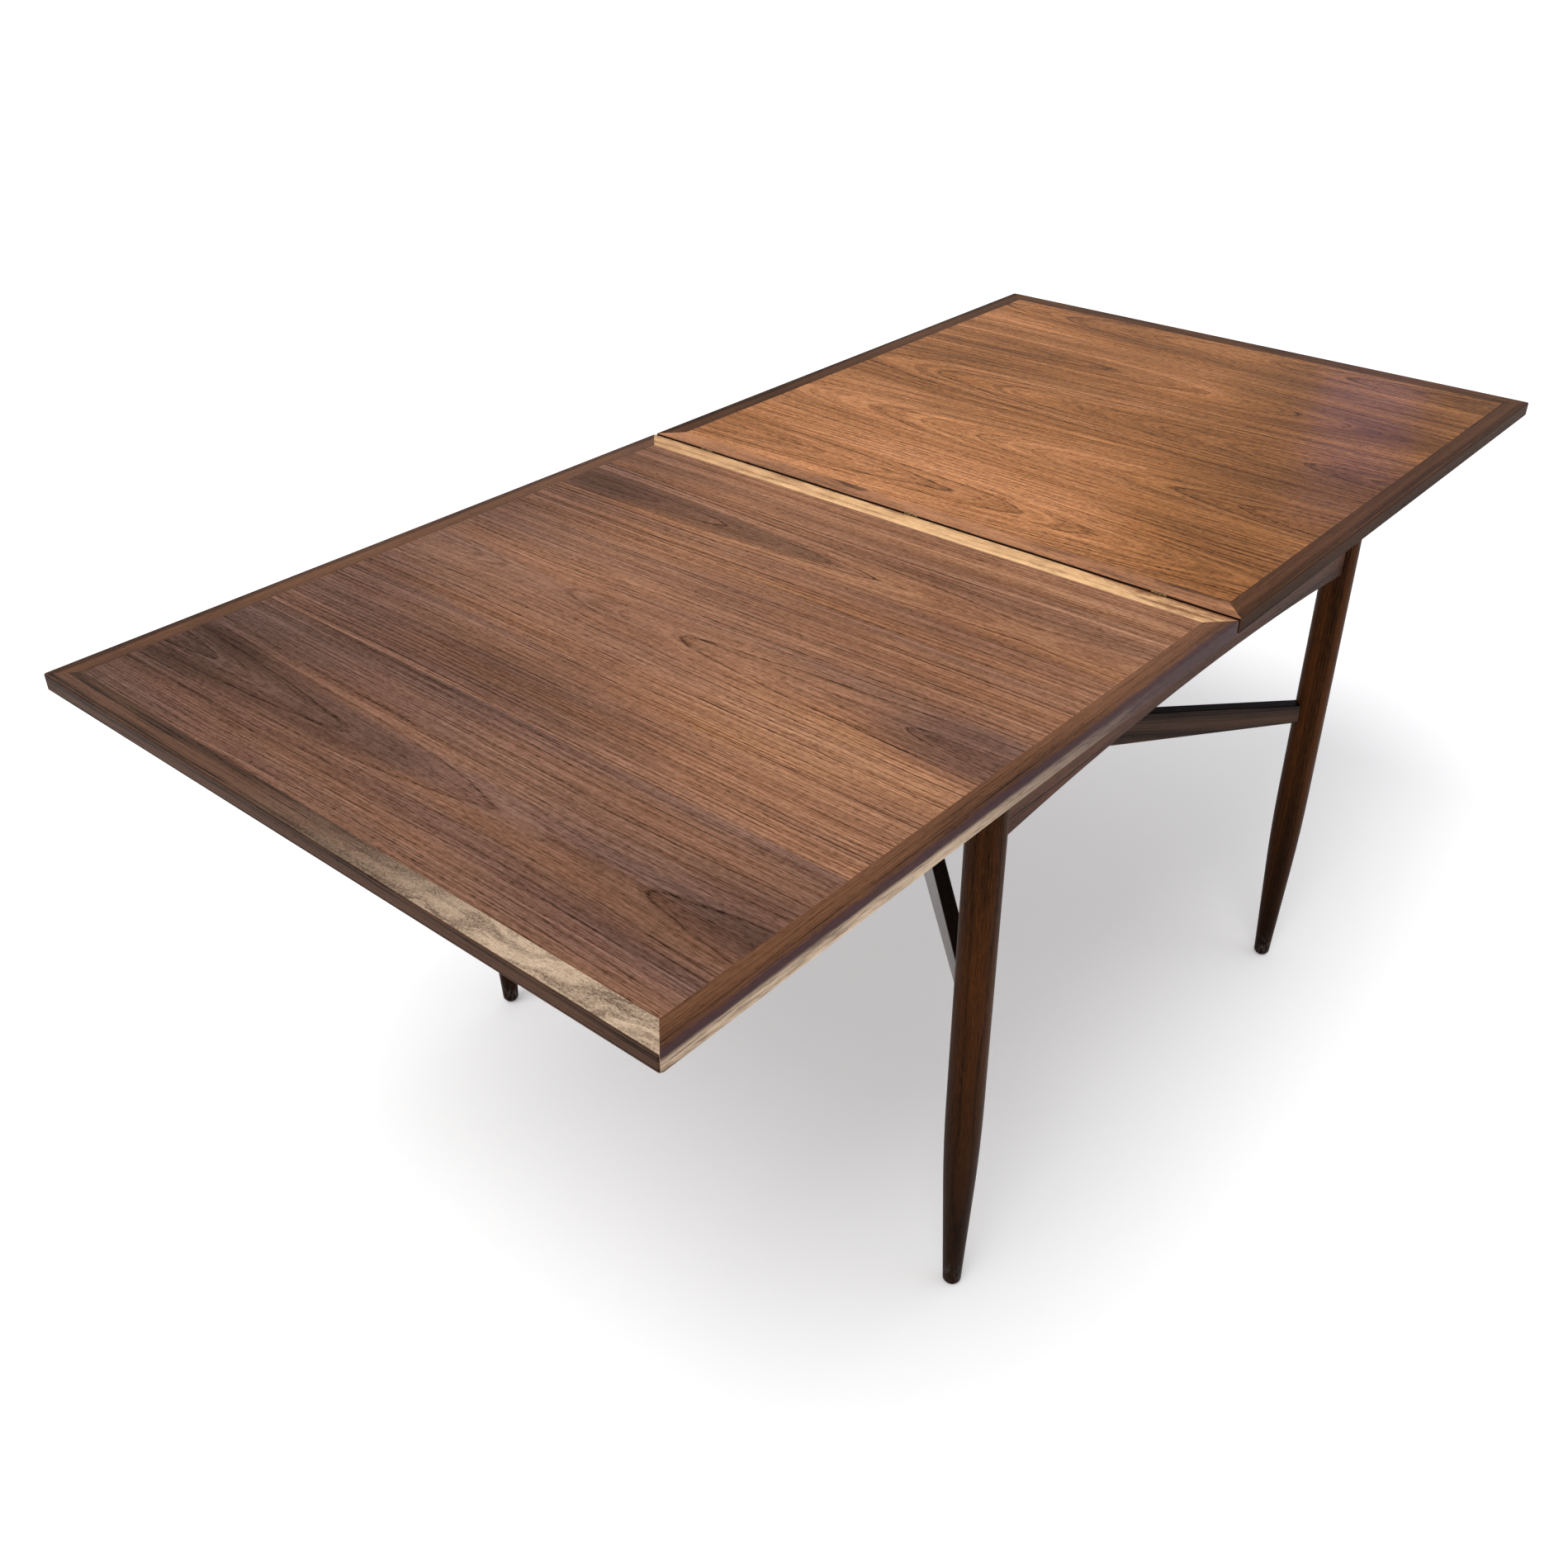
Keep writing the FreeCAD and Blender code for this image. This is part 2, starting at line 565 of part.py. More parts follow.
def end_apron():
    board = apron_blank(LEG_Y)
    board.rotate(ORIGIN, UP, -90)
    board.translate(V(LEG_X + APRON_FACE_OFFSET, 0, 0))
    tools = [leg_cope()] + end_dowels(GLUE_GAP) + block_end_screws(GLUE_GAP) + [rail_blank(GLUE_GAP)]
    tools += [mirror_y(tool) for tool in tools]
    return cut_all(board, tools)


BLOCK_MIDDLE = BLOCK_SETBACK + BLOCK_FOOT / 2


def block_side_screws(gap=0.0):
    """The screw from a corner block into its side apron."""
    start = V(APRON_INNER_X - BLOCK_MIDDLE, APRON_INNER_Y - BLOCK_SCREW_SEAT, BOLT_Z)
    return [wood_screw(start, ALONG_Y, BLOCK_SCREW_SEAT + SCREW_BITE, gap)]


def block_end_screws(gap=0.0):
    """The screw from a corner block into its end apron."""
    start = V(APRON_INNER_X - BLOCK_SCREW_SEAT, APRON_INNER_Y - BLOCK_MIDDLE, BOLT_Z)
    return [wood_screw(start, ALONG_X, BLOCK_SCREW_SEAT + SCREW_BITE, gap)]


def corner_block():
    """A block set across the corner behind the leg."""
    near = BLOCK_SETBACK
    far = BLOCK_SETBACK + BLOCK_FOOT
    plan = [(APRON_INNER_X, APRON_INNER_Y - near), (APRON_INNER_X - near, APRON_INNER_Y),
            (APRON_INNER_X - far, APRON_INNER_Y), (APRON_INNER_X, APRON_INNER_Y - far)]
    block = prism(plan, BOLT_Z - BLOCK_HEIGHT / 2, BOLT_Z + BLOCK_HEIGHT / 2)
    access = SCREW_HEAD_RADIUS + BOLT_CLEARANCE
    end_seat = V(APRON_INNER_X - BLOCK_SCREW_SEAT, APRON_INNER_Y - BLOCK_MIDDLE, BOLT_Z)
    side_seat = V(APRON_INNER_X - BLOCK_MIDDLE, APRON_INNER_Y - BLOCK_SCREW_SEAT, BOLT_Z)
    tools = block_side_screws(GLUE_GAP) + block_end_screws(GLUE_GAP)
    tools.append(rod(end_seat, -ALONG_X, BLOCK_FOOT, access))
    tools.append(rod(side_seat, -ALONG_Y, BLOCK_FOOT, access))
    tools.append(hanger_bolt(BOLT_CLEARANCE))
    return cut_all(block, tools)


def felt_side():
    half = LEG_X - LEG_RADIUS - FELT_LEG_SPACE
    middle = LEG_Y + APRON_MIDDLE
    return box(-half, half, middle - FELT_WIDTH / 2, middle + FELT_WIDTH / 2,
               APRON_TOP, APRON_TOP + FELT_THICKNESS)


def felt_end():
    half = LEG_Y - LEG_RADIUS - FELT_LEG_SPACE
    middle = LEG_X + APRON_MIDDLE
    return box(middle - FELT_WIDTH / 2, middle + FELT_WIDTH / 2, -half, half,
               APRON_TOP, APRON_TOP + FELT_THICKNESS)


# Stretchers. Both bars have one blank, turned to the two diagonals of the base.

CROSSING_BOTTOM = STRETCHER_TOP - STRETCHER_CROSSING_DEPTH
LAP_Z = (STRETCHER_TOP + CROSSING_BOTTOM) / 2
STRETCHER_REACH = math.hypot(LEG_X, LEG_Y)
STRETCHER_ANGLE = math.degrees(math.atan2(LEG_Y, LEG_X))


def stretcher_blank():
    """A bar along X, shallow at the legs and deep at the crossing."""
    half = STRETCHER_THICKNESS / 2
    leg_bottom = STRETCHER_TOP - STRETCHER_LEG_DEPTH
    outline = [(-STRETCHER_REACH, STRETCHER_TOP), (STRETCHER_REACH, STRETCHER_TOP),
               (STRETCHER_REACH, leg_bottom), (half, CROSSING_BOTTOM),
               (-half, CROSSING_BOTTOM), (-STRETCHER_REACH, leg_bottom)]
    corners = [V(x, -half, z) for x, z in outline]
    bar = Part.Face(Part.makePolygon(corners + corners[:1])).extrude(V(0, 2 * half, 0))
    long_edges = [edge for edge in bar.Edges
                  if edge.BoundBox.XLength > STRETCHER_REACH / 2 and edge.BoundBox.YLength < half]
    return bar.makeFillet(STRETCHER_ARRIS, long_edges)


def crossing_slot(angle, z0, z1):
    """The room that the other bar takes at the crossing."""
    half = STRETCHER_THICKNESS / 2 + LAP_CLEARANCE
    slot = box(-STRETCHER_REACH, STRETCHER_REACH, -half, half, z0, z1)
    slot.rotate(ORIGIN, UP, angle)
    return slot


def lap_screw(gap=0.0):
    """The screw that holds the crossing, from below."""
    length = LAP_Z - CROSSING_BOTTOM + SCREW_BITE
    return wood_screw(V(0, 0, CROSSING_BOTTOM), UP, length, gap)


def stretcher(angle, slot):
    """One bar, slotted at the crossing and coped to its two legs."""
    bar = stretcher_blank()
    bar.rotate(ORIGIN, UP, angle)
    tools = [slot, lap_screw(GLUE_GAP)]
    for sign_x, sign_y in CORNERS.values():
        tools.append(to_corner(leg_cope(), sign_x, sign_y))
        tools.append(to_corner(stretcher_dowel(GLUE_GAP), sign_x, sign_y))
    return cut_all(bar, tools)


def write_leaves():
    lippings = leaf_lippings()
    panel = leaf_panel()
    sliding = dict(panel)
    for hole in runner_screws(GLUE_GAP):
        for side_hole in (hole, mirror_y(hole)):
            sliding["core"] = sliding["core"].cut(side_hole)
            sliding["back_veneer"] = sliding["back_veneer"].cut(side_hole)
    for name, shape in lippings.items():
        write("sliding_leaf_" + name, shape)
        write("flip_leaf_" + name, mirror_x(shape))
    for name, shape in panel.items():
        write("sliding_leaf_" + name, sliding[name])
        write("flip_leaf_" + name, mirror_x(shape))


def write_hinges():
    screws = hinge_plate_screws()
    write("sliding_leaf_hinge_plates", *hinge_plates(OUTER_EYES))
    write("sliding_leaf_hinge_screws", *screws)
    write("flip_leaf_hinge_plates", *[mirror_x(plate) for plate in hinge_plates(MIDDLE_EYE)])
    write("flip_leaf_hinge_screws", *[mirror_x(part) for part in screws])
    write("hinge_pins", *hinge_pins())


def write_slide():
    screws = runner_screws()
    pegs = [stop_peg(sign_x) for sign_x in (-1, 1)]
    write("guide_rail_left", guide_rail())
    write("guide_rail_right", mirror_y(guide_rail()))
    write("runner_left", runner())
    write("runner_right", mirror_y(runner()))
    write("runner_screws", *screws, *[mirror_y(part) for part in screws])
    write("slide_stop_pegs", *pegs, *[mirror_y(peg) for peg in pegs])


def write_base():
    leg_shape = leg()
    block_shape = corner_block()
    groups = {
        "apron_dowels": side_dowels() + end_dowels(),
        "stretcher_dowels": [stretcher_dowel()],
        "corner_block_screws": block_side_screws() + block_end_screws(),
        "hanger_bolts": [hanger_bolt()],
        "hanger_bolt_nuts": [bolt_nut()],
    }
    for corner, (sign_x, sign_y) in CORNERS.items():
        write("leg_" + corner, to_corner(leg_shape, sign_x, sign_y))
        write("corner_block_" + corner, to_corner(block_shape, sign_x, sign_y))
        write("foot_glide_" + corner, to_corner(foot_glide(), sign_x, sign_y))
    for node, solids in groups.items():
        write(node, *[to_corner(solid, sign_x, sign_y)
                      for sign_x, sign_y in CORNERS.values() for solid in solids])
    write("side_apron_left", side_apron())
    write("side_apron_right", mirror_y(side_apron()))
    write("end_apron_slide_end", end_apron())
    write("end_apron_flip_end", mirror_x(end_apron()))
    write("felt_strip_left", felt_side())
    write("felt_strip_right", mirror_y(felt_side()))
    write("felt_strip_slide_end", felt_end())
    write("felt_strip_flip_end", mirror_x(felt_end()))


def write_stretchers():
    upper_slot = crossing_slot(-STRETCHER_ANGLE, LAP_Z, TABLE_HEIGHT)
    lower_slot = crossing_slot(STRETCHER_ANGLE, 0, LAP_Z)
    write("stretcher_lower", stretcher(STRETCHER_ANGLE, upper_slot))
    write("stretcher_upper", stretcher(-STRETCHER_ANGLE, lower_slot))
    write("stretcher_lap_screw", lap_screw())


os.makedirs("parts", exist_ok=True)
write_leaves()
write_hinges()
write_slide()
write_base()
write_stretchers()
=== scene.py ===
import math

import bmesh
import bpy
from mathutils import Matrix, Vector


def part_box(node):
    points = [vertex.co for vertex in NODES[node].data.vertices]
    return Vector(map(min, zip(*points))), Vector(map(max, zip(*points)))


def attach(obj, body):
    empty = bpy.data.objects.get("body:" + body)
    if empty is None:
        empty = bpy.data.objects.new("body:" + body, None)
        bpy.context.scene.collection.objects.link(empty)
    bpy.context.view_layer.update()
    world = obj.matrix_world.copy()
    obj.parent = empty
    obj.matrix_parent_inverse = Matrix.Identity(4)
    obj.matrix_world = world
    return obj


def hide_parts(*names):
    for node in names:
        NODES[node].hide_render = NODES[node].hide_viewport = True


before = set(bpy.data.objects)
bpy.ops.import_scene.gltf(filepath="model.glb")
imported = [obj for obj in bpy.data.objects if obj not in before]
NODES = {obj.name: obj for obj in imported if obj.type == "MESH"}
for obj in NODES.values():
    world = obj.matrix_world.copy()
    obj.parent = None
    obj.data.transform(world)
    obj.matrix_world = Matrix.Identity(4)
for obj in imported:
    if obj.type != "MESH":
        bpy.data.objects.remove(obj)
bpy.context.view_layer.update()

bl_info = {
    "name": "Flip-top Table",
    "version": (1, 0, 0),
    "blender": (4, 5, 0),
    "location": "3D View > Sidebar > Table",
    "description": "Finishes the flip-top table's veneers, lippings, base and fittings, and lights it",
    "category": "Object",
}

FLIP_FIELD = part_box("flip_leaf_face_veneer")
SLIDING_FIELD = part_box("sliding_leaf_face_veneer")
FLIP_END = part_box("flip_leaf_end_lipping")
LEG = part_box("leg_slide_end_left")
BAR_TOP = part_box("stretcher_upper")[1].z
TOP_Z = FLIP_FIELD[1].z
UNDERSIDE_Z = FLIP_END[0].z
TOP_END = -FLIP_END[0].x
TOP_SIDE = FLIP_END[1].y
# Where the top of a stretcher turns into its sides.
BAR_EDGE = (BAR_TOP - 0.0010, BAR_TOP - 0.0004)
# How far in from the side the rounded edge of a lipping turns into its top.
OUTER_EDGE = (0.0006, 0.0016)
HALF_GAP = 0.0025
# Share of the oil's gloss that the duller lippings have.
DULL = 0.4


def srgb(red, green, blue):
    """A linear colour from the usual values of 0 to 255."""
    linear = []
    for value in (red / 255, green / 255, blue / 255):
        linear.append(value / 12.92 if value <= 0.04045 else ((value + 0.055) / 1.055) ** 2.4)
    return tuple(linear)


def colour_setting(label, description, red, green, blue):
    return bpy.props.FloatVectorProperty(name=label, description=description, subtype="COLOR", size=3,
                                         min=0.0, max=1.0, default=srgb(red, green, blue))


def number_setting(label, description, value, **limits):
    return bpy.props.FloatProperty(name=label, description=description, default=value, **{"min": 0.0, **limits})


def length_setting(label, description, metres):
    return number_setting(label, description, metres, unit="LENGTH")


def share_setting(label, description, share):
    return number_setting(label, description, share, subtype="FACTOR", max=1.0)


class VeneerSettings(bpy.types.PropertyGroup):
    """Colours and ring widths of the two veneered fields."""

    flip_light: colour_setting("Flip leaf, pale wood", "Palest wood between the rings", 198, 145, 108)
    flip_warm: colour_setting("Flip leaf, warm wood", "Orange part of the veneer", 148, 101, 71)
    flip_cool: colour_setting("Flip leaf, cool wood", "Greyish part of the veneer", 119, 92, 84)
    flip_dark: colour_setting("Flip leaf, dark lines", "Late wood in the rings", 56, 36, 26)
    flip_heart: colour_setting("Flip leaf, heart", "Greyish wood inside the arches", 88, 65, 56)
    flip_ring: length_setting("Flip leaf, ring", "Width of a ring in the arches", 0.0068)
    sliding_light: colour_setting("Sliding leaf, pale wood", "Palest wood between the rings", 221, 156, 111)
    sliding_warm: colour_setting("Sliding leaf, warm wood", "Orange part of the veneer", 167, 108, 62)
    sliding_cool: colour_setting("Sliding leaf, cool wood", "Brown part of the veneer", 145, 98, 60)
    sliding_dark: colour_setting("Sliding leaf, dark lines", "Late wood in the rings", 84, 50, 26)
    sliding_heart: colour_setting("Sliding leaf, heart", "Wood inside the arches", 130, 84, 49)
    sliding_ring: length_setting("Sliding leaf, ring", "Width of a ring in the arches", 0.0075)
    flip_figure: number_setting("Flip leaf, figure", "Strength of its grain", 1.2)
    sliding_figure: number_setting("Sliding leaf, figure", "Strength of its grain", 1.5)
    back_light: colour_setting("Underside, pale wood", "Pale veneer under both leaves", 118, 94, 78)
    back_dark: colour_setting("Underside, dark wood", "Dark veneer under both leaves", 46, 34, 28)
    flip_roughness: share_setting("Flip leaf, roughness", "Roughness of the oiled veneer", 0.42)
    sliding_roughness: share_setting("Sliding leaf, roughness", "Roughness of the oiled veneer", 0.17)
    flip_gloss: share_setting("Flip leaf, gloss", "Strength of the oil's reflection", 0.010)
    sliding_gloss: share_setting("Sliding leaf, gloss", "Strength of the oil's reflection", 0.008)


class TimberSettings(bpy.types.PropertyGroup):
    """Colours of the solid woods."""

    lipping_light: colour_setting("Lipping, pale wood", "Pale streaks of the walnut lippings", 126, 85, 60)
    lipping_dark: colour_setting("Lipping, dark wood", "Dark streaks of the walnut lippings", 38, 22, 14)
    far_light: colour_setting("Sliding leaf lipping, pale", "Pale streaks at its sides and end", 104, 69, 46)
    far_dark: colour_setting("Sliding leaf lipping, dark", "Dark streaks at its sides and end", 34, 19, 10)
    end_light: colour_setting("Flip end lipping, pale", "Pale streaks at its end", 106, 75, 58)
    end_dark: colour_setting("Flip end lipping, dark", "Dark streaks at its end", 22, 14, 10)
    joint_light: colour_setting("Sliding hinge lipping, pale", "Pale streaks beside the gap", 200, 138, 96)
    joint_dark: colour_setting("Sliding hinge lipping, dark", "Dark streaks beside the gap", 56, 32, 20)
    gold_light: colour_setting("Flip hinge lipping, pale", "Palest golden sapwood", 247, 199, 145)
    gold_dark: colour_setting("Flip hinge lipping, tan", "Streaks in the golden sapwood", 122, 72, 42)
    sap_light: colour_setting("Sapwood, pale", "Palest sapwood of the flip leaf", 224, 197, 168)
    sap_dark: colour_setting("Sapwood, tan", "Swirls in the sapwood", 112, 90, 75)
    # Painted shade: this near-black stands in for the shadow in the gap between the leaves, and is painted as
    # shade on the outer faces of the lippings too.
    gap: colour_setting("Gap", "Stained edges in the gap between the leaves", 16, 8, 6)
    sap_border: colour_setting("Sapwood's border", "Purplish wood beside the sapwood", 70, 52, 56)
    base_light: colour_setting("Base, pale wood", "Pale streaks of the legs", 86, 48, 20)
    # The legs' dark wood is also painted as shade towards the feet.
    base_dark: colour_setting("Base, dark wood", "Dark streaks of the legs", 18, 9, 4)
    apron_light: colour_setting("Apron, pale wood", "Pale streaks of the aprons", 106, 72, 56)
    apron_dark: colour_setting("Apron, dark wood", "Dark streaks of the aprons", 28, 17, 13)
    stretcher_light: colour_setting("Stretcher, pale wood", "Pale streaks of the crossed bars", 80, 58, 46)
    # The stretchers' dark wood is also painted as shade on their top faces.
    stretcher_dark: colour_setting("Stretcher, dark wood", "Dark streaks of the crossed bars", 14, 9, 7)
    dust: colour_setting("Scuffs", "Scuffed wood at the feet", 92, 86, 84)
    beech_light: colour_setting("Beech, pale", "Pale wood of blocks, rails, runners and dowels", 206, 168, 124)
    beech_dark: colour_setting("Beech, tan", "Flecks and rings in the beech", 158, 112, 74)
    core: colour_setting("Core board", "Crumbs of the core board", 176, 144, 104)
    ring: length_setting("Ring", "Width of a ring in the solid woods", 0.0042)
    roughness: share_setting("Roughness", "Roughness of the oiled solid wood", 0.36)
    gloss: share_setting("Gloss", "Strength of the oil's reflection", 0.025)


class FittingSettings(bpy.types.PropertyGroup):
    """Colours of the metal and felt."""

    brass: colour_setting("Aged brass", "Hinge plates and pins", 74, 58, 38)
    brass_worn: colour_setting("Worn brass", "Brass where it is rubbed", 150, 118, 66)
    zinc: colour_setting("Zinc", "Screws, bolts and nuts", 168, 168, 166)
    glide: colour_setting("Glide", "Blackened glides under the feet", 34, 31, 30)
    felt: colour_setting("Felt", "Strips between aprons and leaves", 50, 42, 36)
    screw_slot: length_setting("Screw slot", "Width of the slot in a screw's head", 0.0009)
    slot_depth: length_setting("Slot depth", "Depth of the slot in a screw's head", 0.0011)
    rim: length_setting("Rim", "Width of the rounded rims of heads and glides", 0.0004)
    thread_pitch: length_setting("Thread pitch", "Distance between the ridges of a bolt's thread", 0.00125)
    thread_depth: length_setting("Thread depth", "Depth of a bolt's thread", 0.0006)
    thread_length: length_setting("Thread length", "Threaded end of a bolt", 0.012)
    nut_corner: length_setting("Nut corner", "Chamfer at a nut's corners", 0.0011)
    felt_round: length_setting("Felt edge", "Rounding of a felt strip's upper edges", 0.0006)
    felt_nap: length_setting("Felt nap", "Unevenness of the felt's surface", 0.0002)


class StageSettings(bpy.types.PropertyGroup):
    """Light, floor and camera."""

    dome: number_setting("Dome", "Strength of the even white light all round", 0.62)
    key: number_setting("Key light", "Strength of the soft light from above the near end", 1.60)
    floor: colour_setting("Floor", "Pale studio floor", 255, 255, 255)
    floor_glow: share_setting("Floor glow", "White that the floor shows the camera", 0.16)
    side_power: number_setting("Side light", "Power of the cool light at the right", 10.0, unit="POWER")
    window_power: number_setting("Window", "Power of the low light beyond the far end", 1.3, unit="POWER")
    cool: colour_setting("Side light's colour", "Colour of the light at the right", 214, 220, 255)
    window: colour_setting("Window's colour", "Colour of the low light beyond the far end", 165, 150, 255)
    camera_place: bpy.props.FloatVectorProperty(
        name="Camera", description="Where the camera stands", size=3, subtype="TRANSLATION", unit="LENGTH",
        default=(-1.480945, -1.064932, 1.518440))
    camera_turn: bpy.props.FloatVectorProperty(
        name="Camera turn", description="How the camera is turned", size=3, subtype="EULER", unit="ROTATION",
        default=tuple(math.radians(angle) for angle in (57.0613019, 0.3386844, -49.4598770)))
    camera_lens: number_setting("Lens", "Focal length in millimetres", 36.104876, min=1.0, unit="CAMERA")


def both_ways(operation):
    """An operator on a field, and its reflected form."""

    def plain(self, other):
        return self.math(operation, self, other)

    def reflected(self, other):
        return self.math(operation, other, self)

    return plain, reflected


class Field:
    """A shader socket that takes part in Python sums."""

    def __init__(self, shade, socket):
        self.shade = shade
        self.socket = socket

    def out(self, name):
        """Another output of the same node."""
        return Field(self.shade, self.socket.node.outputs[name])

    def math(self, operation, first, second=0.0):
        return self.shade.node("ShaderNodeMath", {"operation": operation}, {0: first, 1: second})

    __add__, __radd__ = both_ways("ADD")
    __sub__, __rsub__ = both_ways("SUBTRACT")
    __mul__, __rmul__ = both_ways("MULTIPLY")
    __truediv__, __rtruediv__ = both_ways("DIVIDE")

    def __pow__(self, other):
        return self.math("POWER", self, other)

    def __abs__(self):
        return self.math("ABSOLUTE", self)

    def fraction(self):
        return self.math("FRACT", self)

    def whole(self):
        return self.math("FLOOR", self)

    def at_least(self, other):
        return self.math("MAXIMUM", self, other)

    def bounded(self):
        """Kept between 0 and 1."""
        return self.shade.node("ShaderNodeClamp", {}, {"Value": self})


class Shade:
    """One finish: a node tree and the ways to add to it."""

    def __init__(self, tree):
        self.tree = tree
        self.tree.nodes.clear()

    def node(self, kind, settings, inputs):
        """Add a node: its settings first, then the values or links of its sockets."""
        made = self.tree.nodes.new(kind)
        for key, value in settings.items():
            if key == "stops":
                self.set_stops(made.color_ramp, value)
            else:
                setattr(made, key, value)
        for key, value in inputs.items():
            if isinstance(value, Field):
                self.tree.links.new(value.socket, made.inputs[key])
            else:
                made.inputs[key].default_value = value
        return Field(self, made.outputs[0]) if made.outputs else None

    def set_stops(self, ramp, stops):
        """Give a ramp its (place, colour) stops."""
        while len(ramp.elements) < len(stops):
            ramp.elements.new(1.0)
        for element, (place, colour) in zip(ramp.elements, stops):
            element.position = place
            element.color = (*colour, 1.0)

    def place(self):
        """X, Y and Z on the piece, in metres."""
        spot = self.node("ShaderNodeTexCoord", {}, {}).out("Object")
        parts = self.node("ShaderNodeSeparateXYZ", {}, {"Vector": spot})
        return parts, parts.out("Y"), parts.out("Z")

    def noise(self, x, y, z, detail=2.0, rough=0.5):
        """Smooth noise over three coordinates, each already scaled."""
        spot = self.node("ShaderNodeCombineXYZ", {}, {"X": x, "Y": y, "Z": z})
        return self.node("ShaderNodeTexNoise", {"noise_dimensions": "3D"},
                         {"Vector": spot, "Scale": 1.0, "Detail": detail, "Roughness": rough})

    def waver(self, spot, repeats, detail, rough=0.5):
        """Noise round 0 over a place, with its repeats in a metre along X, Y and Z."""
        return self.noise(*(part * many for part, many in zip(spot, repeats)), detail, rough) - 0.5

    def grit(self, repeats, detail):
        """Noise of one size all over the piece, with its repeats in a metre."""
        return self.noise(*(part * repeats for part in self.place()), detail)

    def line_noise(self, along, detail=1.0):
        """Smooth noise over one value."""
        return self.node("ShaderNodeTexNoise", {"noise_dimensions": "1D"},
                         {"W": along, "Scale": 1.0, "Detail": detail})

    def ease(self, value, low, high, at_low=0.0, at_high=1.0):
        """A soft step from one level to another."""
        return self.node("ShaderNodeMapRange", {"interpolation_type": "SMOOTHSTEP"},
                         {"Value": value, "From Min": low, "From Max": high,
                          "To Min": at_low, "To Max": at_high})

    def peak(self, value, low, top):
        """A soft rise from low to top, and a fall from there to 1."""
        return self.ease(value, low, top) * self.ease(value, top, 1.0, 1.0, 0.0)

    def ramp(self, value, stops, interpolation="LINEAR"):
        """A colour ramp over a value."""
        made = self.node("ShaderNodeValToRGB", {"stops": stops}, {"Fac": value})
        made.socket.node.color_ramp.interpolation = interpolation
        return made

    def split(self, colour):
        """The three parts of a colour."""
        parts = self.node("ShaderNodeSeparateColor", {}, {"Color": colour})
        return parts, parts.out("Green"), parts.out("Blue")

    def mix(self, share, first, second, blend="MIX"):
        """Mix two colours."""
        made = self.node("ShaderNodeMix", {"data_type": "RGBA", "blend_type": blend},
                         {0: share, 6: solid(first), 7: solid(second)})
        return made.out(2)

    def seen(self):
        """1 for what the camera sees, straight or in a reflection, and 0 for the light on other surfaces."""
        path = self.node("ShaderNodeLightPath", {}, {})
        return (path + path.out("Is Glossy Ray") + path.out("Is Transmission Ray")).bounded()

    def streak(self, value):
        """A value as a nearly grey colour, redder the darker it is."""
        value = value.at_least(DARKEST_STREAK)
        return self.node("ShaderNodeCombineColor", {},
                         {name: value ** power for name, power in zip(("Red", "Green", "Blue"), STREAK_POWERS)})

    def surface(self, colour, roughness, height=None, depth=0.0003, **constants):
        """The shader itself, with a bump from height."""
        inputs = {"Base Color": solid(colour), "Roughness": roughness}
        inputs.update({name.replace("_", " "): value for name, value in constants.items()})
        if height is not None:
            inputs["Normal"] = self.node("ShaderNodeBump", {}, {"Height": height, "Distance": depth})
        shader = self.node("ShaderNodeBsdfPrincipled", {}, inputs)
        self.node("ShaderNodeOutputMaterial", {}, {"Surface": shader})


def solid(colour):
    """A plain colour with its alpha, or a field as it is."""
    return colour if isinstance(colour, Field) else (*colour, 1.0)


def new_finish(name):
    """A new material and its shade."""
    material = bpy.data.materials.new(name)
    material.use_nodes = True
    return material, Shade(material.node_tree)


def cover(piece, material):
    """Give a finish to one piece."""
    piece.data.materials.clear()
    piece.data.materials.append(material)


def dress(material, nodes):
    """Give a finish to nodes of the table."""
    for name in nodes:
        cover(NODES[name], material)


def like(*starts):
    """Names of the nodes that start in one of these ways."""
    names = [name for name in NODES if name.startswith(starts)]
    if not names:
        raise RuntimeError("no node starts with " + ", ".join(starts))
    return names


# Wood. Rings are counted outwards from the pith, and fibres and pores run along the grain.

DARKEST_STREAK = 0.05
STREAK_POWERS = (0.94, 1.05, 1.17)
# How often marks repeat in a metre, across the grain and along it.
FIBRE = (1 / 0.0011, 1 / 0.080)
PORE = (1 / 0.00045, 1 / 0.009)
BEND = (9.0, 3.0)
TIMBER_CLOUD = (14.0, 2.6)
# The same for marks that only the veneers have, and then their strength.
WANDER = (5.0, 2.2, 0.016)
RISE = (2.0, 5.0, 0.010)
STRIPE = (420.0, 1.6, 1.4)
SPECK = (380.0, 190.0, 0.8)
DASH = (900.0, 75.0, 0.8)
FLAME = (26.0, 1.8, 1.1)
CLOUD = (6.0, 2.2, 0.58)
# Where in a ring its dark line ends, how wide the line is, how many finer lines there are to a ring, and how
# fast the rings of a veneer narrow outwards.
LINE_END = 0.96
LINE_WIDTH = 0.24
FINE_LINES = 3.1
NARROWING = 0.6


def marks(shade, repeats, along, across, up, detail):
    """Noise that is drawn out along the grain."""
    wide, long = repeats
    return shade.noise(across * wide, up * wide, along * long, detail)


def streaks(shade, along, across, up):
    """Fibre streaks and pores along the grain."""
    grain = marks(shade, PORE, along, across, up, 0.0)
    return marks(shade, FIBRE, along, across, up, 3.0), shade.ease(grain, 0.60, 0.72)


